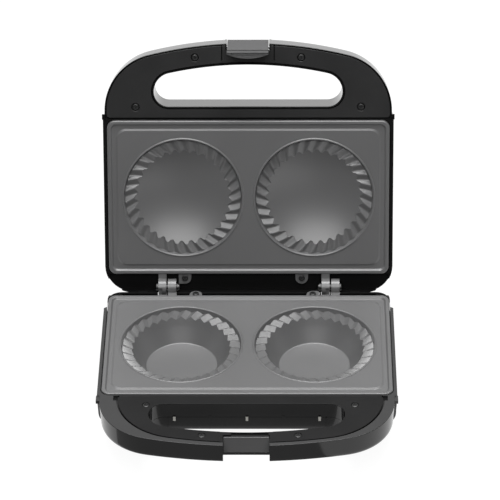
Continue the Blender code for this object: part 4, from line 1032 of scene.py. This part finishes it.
def tab(x, square):
    """A fixing tab, with a well and a bore for its screw."""
    steps = ((-TAB_EDGE, TAB_TOP), (0.0, TAB_TOP + TAB_EDGE), (0.0, TAB_BACK))
    body = loft([at_level(tab_outline(x, square, grow), z) for grow, z in steps])
    lip = TAB_WELL + TAB_EDGE
    cut(body, turned(((lip, 2.0), (lip, TAB_TOP - 0.05), (TAB_WELL, TAB_TOP + 0.2)), 32, (x, TAB_Y)))
    cut(body, turned(((SHANK_BORE, 1.0), (SHANK_BORE, 7.0)), 24, (x, TAB_Y)))
    return body


def casting(half):
    body = plate_slab()
    pieces = [mould(side, half) for side in (-1, 1)]
    pieces += [lug(*place) for place in LUGS[half]]
    pieces += [tab(x, square) for x, square in TABS]
    end = STUD_ENDS[half]
    stud = ((STUD_RADIUS, 5.0), (STUD_RADIUS, end), (SHANK_BORE, end), (SHANK_BORE, end - 5.7))
    pieces += [turned(stud, 32, (0.0, y)) for y in STUD_YS]
    merged(body, *pieces)
    finish(body, half + "_plate_fine", [COATING], half, [half + "_plate"], angle=30)


# Latch and catch

LATCH_HALF = 18.1
CHEEK_WIDTH = 2.8
CHEEK_RADIUS = 3.6
PIN_Y = LATCH_FACE + 5.9
PIN_Z = 12.0
PIN_BORE = 1.6
HOOK_ROOT = LATCH_FACE + 5.2
HOOK_BOW = 3.7
HOOK_STEPS = 24
CATCH_HALF = 19.1

# Distance behind the latch's face and depth, over the top of the clip and round its hooked end
LATCH_PROFILE = (
    (0.0, 17.2), (0.25, 17.8), (0.8, 18.0), (2.2, 18.0), (2.8, 17.4), (5.0, -17.0), (6.1, -18.3),
    (6.1, -20.7), (5.8, -20.9), (4.7, -19.6), (4.7, -20.8), (4.4, -20.9), (3.0, -19.4), (2.9, -19.0),
    (2.5, -19.0), (2.2, -19.2),
)

# Inset, depth at the nose and depth at the root of the hook's rings
HOOK_RINGS = ((0.35, -20.5, -19.6), (0.0, -20.15, -19.25), (0.0, -18.6, -18.6), (0.3, -18.3, -18.3))

# Distance behind the catch's face and depth
CATCH_PROFILE = (
    (1.9, 1.8), (1.55, 1.9), (1.45, 2.2), (0.0, 16.6), (0.3, 17.0), (3.6, 17.0), (3.6, 4.5), (2.2, 4.5),
    (2.1, 1.8),
)


def hook():
    """The latch's hook, with a bowed nose."""
    nose = [(LATCH_HALF, HOOK_ROOT)]
    for i in range(HOOK_STEPS + 1):
        share = 1 - 2 * i / HOOK_STEPS
        nose.append((LATCH_HALF * share, HOOK_NOSE - HOOK_BOW * share * share))
    nose.append((-LATCH_HALF, HOOK_ROOT))
    rings = []
    for inset, level, root_level in HOOK_RINGS:
        narrow = 1 - inset / LATCH_HALF
        ring = []
        for x, y in nose:
            z = root_level if y < HOOK_NOSE - 3.6 else level
            ring.append(Vector((x * narrow, y - inset, z)))
        rings.append(ring)
    return loft(rings)


def cheek(low, high):
    """One of the latch's two eyes for its pin."""
    profile = []
    for i in range(17):
        turn = math.pi * i / 16
        profile.append((PIN_Y + CHEEK_RADIUS * math.sin(turn), PIN_Z + CHEEK_RADIUS * math.cos(turn)))
    for z in (PIN_Z - CHEEK_RADIUS, PIN_Z + CHEEK_RADIUS):
        profile.append((LATCH_FACE + 0.4, z))
    return along_x(profile, low, high)


def latch():
    """The clip: a face plate with rounded edges and ribs at its end, a hook, and eyes for its pin."""
    body = along_x([(LATCH_FACE + y, z) for y, z in LATCH_PROFILE], -LATCH_HALF, LATCH_HALF)
    join(body, hook())
    for side in (-1, 1):
        join(body, cheek(*sorted((side * LATCH_HALF, side * (LATCH_HALF - CHEEK_WIDTH)))))
    cut(body, across(((PIN_BORE, -22.0), (PIN_BORE, 22.0)), 32, PIN_Y, PIN_Z))
    finish(body, "latch_fine", [LATCH], "latch", ["latch"])


def catch():
    body = along_x([(CATCH_FACE + y, z) for y, z in CATCH_PROFILE], -CATCH_HALF, CATCH_HALF)
    finish(body, "catch_fine", [CATCH], "base", ["latch_catch"])


# Hinge pins

# Radius and distance from the part's middle
PIN_PROFILE = ((1.2, 61.8), (2.2, 61.9), (2.5, 62.3), (2.5, 81.5), (3.1, 81.5), (3.1, 82.4), (2.8, 82.7))
CLIP_PROFILE = ((3.3, 64.1), (3.3, 63.3))
CLIP_BORE = ((2.6, 66.0), (2.6, 61.0))


def pins():
    for name, side in (("left", 1), ("right", -1)):
        pin, clip, bore = (
            across([(radius, side * x) for radius, x in profile], 40, HINGE_Y, 0.0)
            for profile in (PIN_PROFILE, CLIP_PROFILE, CLIP_BORE)
        )
        cut(clip, bore)
        finish(pin, name + "_pin_fine", [PIN_STEEL], "base", [name + "_hinge_pin"])
        finish(clip, name + "_clip_fine", [PIN_STEEL], "base", [name + "_pin_clip"])


# Pieces that keep the part's own shape

DRESS = {
    "base_element": TINTED, "lid_element": TINTED, "base_reflector": SHEET, "lid_reflector": SHEET,
    "thermostat": CERAMIC, "thermal_fuse": CERAMIC, "terminal_block": NYLON, "lamp_holder": NYLON,
    "cord_gland": RUBBER, "power_lens": RED, "ready_lens": GREEN, "latch_pin": STEEL,
    "foot_front_left": RUBBER, "foot_front_right": RUBBER,
    "foot_back_left": RUBBER, "foot_back_right": RUBBER,
    "base_reflector_screw_front": DARK_STEEL, "base_reflector_screw_back": DARK_STEEL,
    "lid_reflector_screw_front": DARK_STEEL, "lid_reflector_screw_back": DARK_STEEL,
}


def dress():
    for node, made in DRESS.items():
        obj = frame["nodes"][node]
        obj.data.materials.clear()
        obj.data.materials.append(made)
        obj.data.shade_smooth()
        obj.data.set_sharp_from_angle(angle=math.radians(35))


# Stage, lights and camera

FLOOR_HALF = 30.0
FLOOR_DROP = 0.0002
FLOOR_GREY = 0.12
FLOOR_GLOW = 0.95
ROOM_GLOW = 0.01
ROOM_BEHIND = 0.88

# Edges of the dark card that reflections see on the floor in front and to the left, and its share of light
CARD_RIGHT = 78.0
CARD_BACK = -137.0
CARD_LEFT_OVER = 0.28


def place_parts(tree, output):
    where = tree.nodes.new("ShaderNodeTexCoord")
    parts = tree.nodes.new("ShaderNodeSeparateXYZ")
    tree.links.new(where.outputs[output], parts.inputs["Vector"])
    return parts.outputs


def card_free(tree):
    """1 on the floor beyond the dark card, less on it."""
    parts = place_parts(tree, "Object")
    past_right = calc(tree, "GREATER_THAN", parts["X"], CARD_RIGHT * MM)
    past_back = calc(tree, "GREATER_THAN", parts["Y"], CARD_BACK * MM)
    return span(tree, calc(tree, "MAXIMUM", past_right, past_back), CARD_LEFT_OVER, 1.0).outputs["Result"]


def seen_share(tree, reflected):
    """1 for rays from the camera and through glass, the given share for reflected rays, 0 for others."""
    path = tree.nodes.new("ShaderNodeLightPath").outputs
    direct = calc(tree, "MAXIMUM", path["Is Camera Ray"], path["Is Transmission Ray"])
    return calc(tree, "MAXIMUM", direct, calc(tree, "MULTIPLY", path["Is Glossy Ray"], reflected))


def stage():
    """A wide floor that the camera sees as white and that lights the part like grey paper."""
    work = bmesh.new()
    half = FLOOR_HALF
    corners = at_level(((-half, -half), (half, -half), (half, half), (-half, half)), 0.0)
    work.faces.new([work.verts.new(corner) for corner in corners])
    floor = solid(work, "floor")
    floor.location.z = -FLOOR_DROP
    made, tree, shader = new_material("floor")
    shader.inputs["Base Color"].default_value = (FLOOR_GREY, FLOOR_GREY, FLOOR_GREY, 1)
    shader.inputs["Roughness"].default_value = 0.9
    shader.inputs["Specular IOR Level"].default_value = 0.0
    glow = tree.nodes.new("ShaderNodeEmission")
    glow.inputs["Strength"].default_value = FLOOR_GLOW
    plus = tree.nodes.new("ShaderNodeAddShader")
    choose = tree.nodes.new("ShaderNodeMixShader")
    tree.links.new(seen_share(tree, card_free(tree)), choose.inputs["Fac"])
    tree.links.new(shader.outputs["BSDF"], choose.inputs[1])
    tree.links.new(shader.outputs["BSDF"], plus.inputs[0])
    tree.links.new(glow.outputs["Emission"], plus.inputs[1])
    tree.links.new(plus.outputs["Shader"], choose.inputs[2])
    tree.links.new(choose.outputs["Shader"], tree.nodes["Material Output"].inputs["Surface"])
    floor.data.materials.append(made)


def world():
    """A room that the camera sees as white, and reflections as white behind the part only."""
    made = bpy.data.worlds.new("studio")
    bpy.context.scene.world = made
    made.use_nodes = True
    tree = made.node_tree
    tree.nodes.clear()
    behind = span(tree, place_parts(tree, "Generated")["Y"], 0.0, ROOM_BEHIND)
    behind.inputs["From Min"].default_value = -0.2
    behind.inputs["From Max"].default_value = 0.4
    room = tree.nodes.new("ShaderNodeBackground")
    room.inputs["Color"].default_value = (1, 1, 1, 1)
    room.inputs["Strength"].default_value = ROOM_GLOW
    white = tree.nodes.new("ShaderNodeBackground")
    choose = tree.nodes.new("ShaderNodeMixShader")
    out = tree.nodes.new("ShaderNodeOutputWorld")
    tree.links.new(seen_share(tree, behind.outputs["Result"]), choose.inputs["Fac"])
    tree.links.new(room.outputs["Background"], choose.inputs[1])
    tree.links.new(white.outputs["Background"], choose.inputs[2])
    tree.links.new(choose.outputs["Shader"], out.inputs["Surface"])


LIGHT_TARGET = (0.0, 0.0, 0.1)


def area_light(name, place, size, power):
    lamp = bpy.data.lights.new(name, "AREA")
    lamp.shape = "RECTANGLE"
    lamp.size, lamp.size_y = size
    lamp.energy = power
    made = bpy.data.objects.new(name, lamp)
    made.location = place
    made.rotation_euler = (Vector(LIGHT_TARGET) - Vector(place)).to_track_quat("-Z", "Y").to_euler()
    bpy.context.scene.collection.objects.link(made)


def lights():
    area_light("front_box", (0.0, -1.23, 1.68), (1.60, 1.30), 24.0)
    area_light("top_box", (0.0, 0.35, 2.25), (1.80, 1.10), 51.5)


# Focal length and picture width in pixels, the camera's angles, and its eye seen from the base's plate
FOCAL = 2962.55
PICTURE = 500
FILM = 36.0
YAW, ROLL, PITCH = -0.0158, -0.0098, 0.6317
EYE = (34.87, -2036.86, 1591.20)


def camera():
    data = bpy.data.cameras.new("camera")
    data.sensor_width = FILM
    data.lens = FOCAL / PICTURE * FILM
    data.clip_end = 100.0
    level = math.cos(PITCH)
    ahead = Vector((math.sin(YAW) * level, math.cos(YAW) * level, -math.sin(PITCH)))
    right = Vector((math.cos(YAW), -math.sin(YAW), 0.0))
    up = right.cross(ahead)
    across_view = math.cos(ROLL) * right + math.sin(ROLL) * up
    up_view = -math.sin(ROLL) * right + math.cos(ROLL) * up
    made = bpy.data.objects.new("camera", data)
    turn = Matrix((across_view, up_view, -ahead)).transposed().to_4x4()
    eye = Vector((EYE[0], EYE[1] - MIDDLE, EYE[2] + STAND)) * MM
    made.matrix_world = Matrix.Translation(eye) @ turn
    bpy.context.scene.collection.objects.link(made)
    bpy.context.scene.camera = made


camera()
lights()
world()
stage()
lid_shell()
base_housing()
lid_cover()
base_cover()
casting("lid")
casting("base")
screws()
latch()
catch()
pins()
dress()

scene = bpy.context.scene
scene.view_settings.view_transform = "Standard"
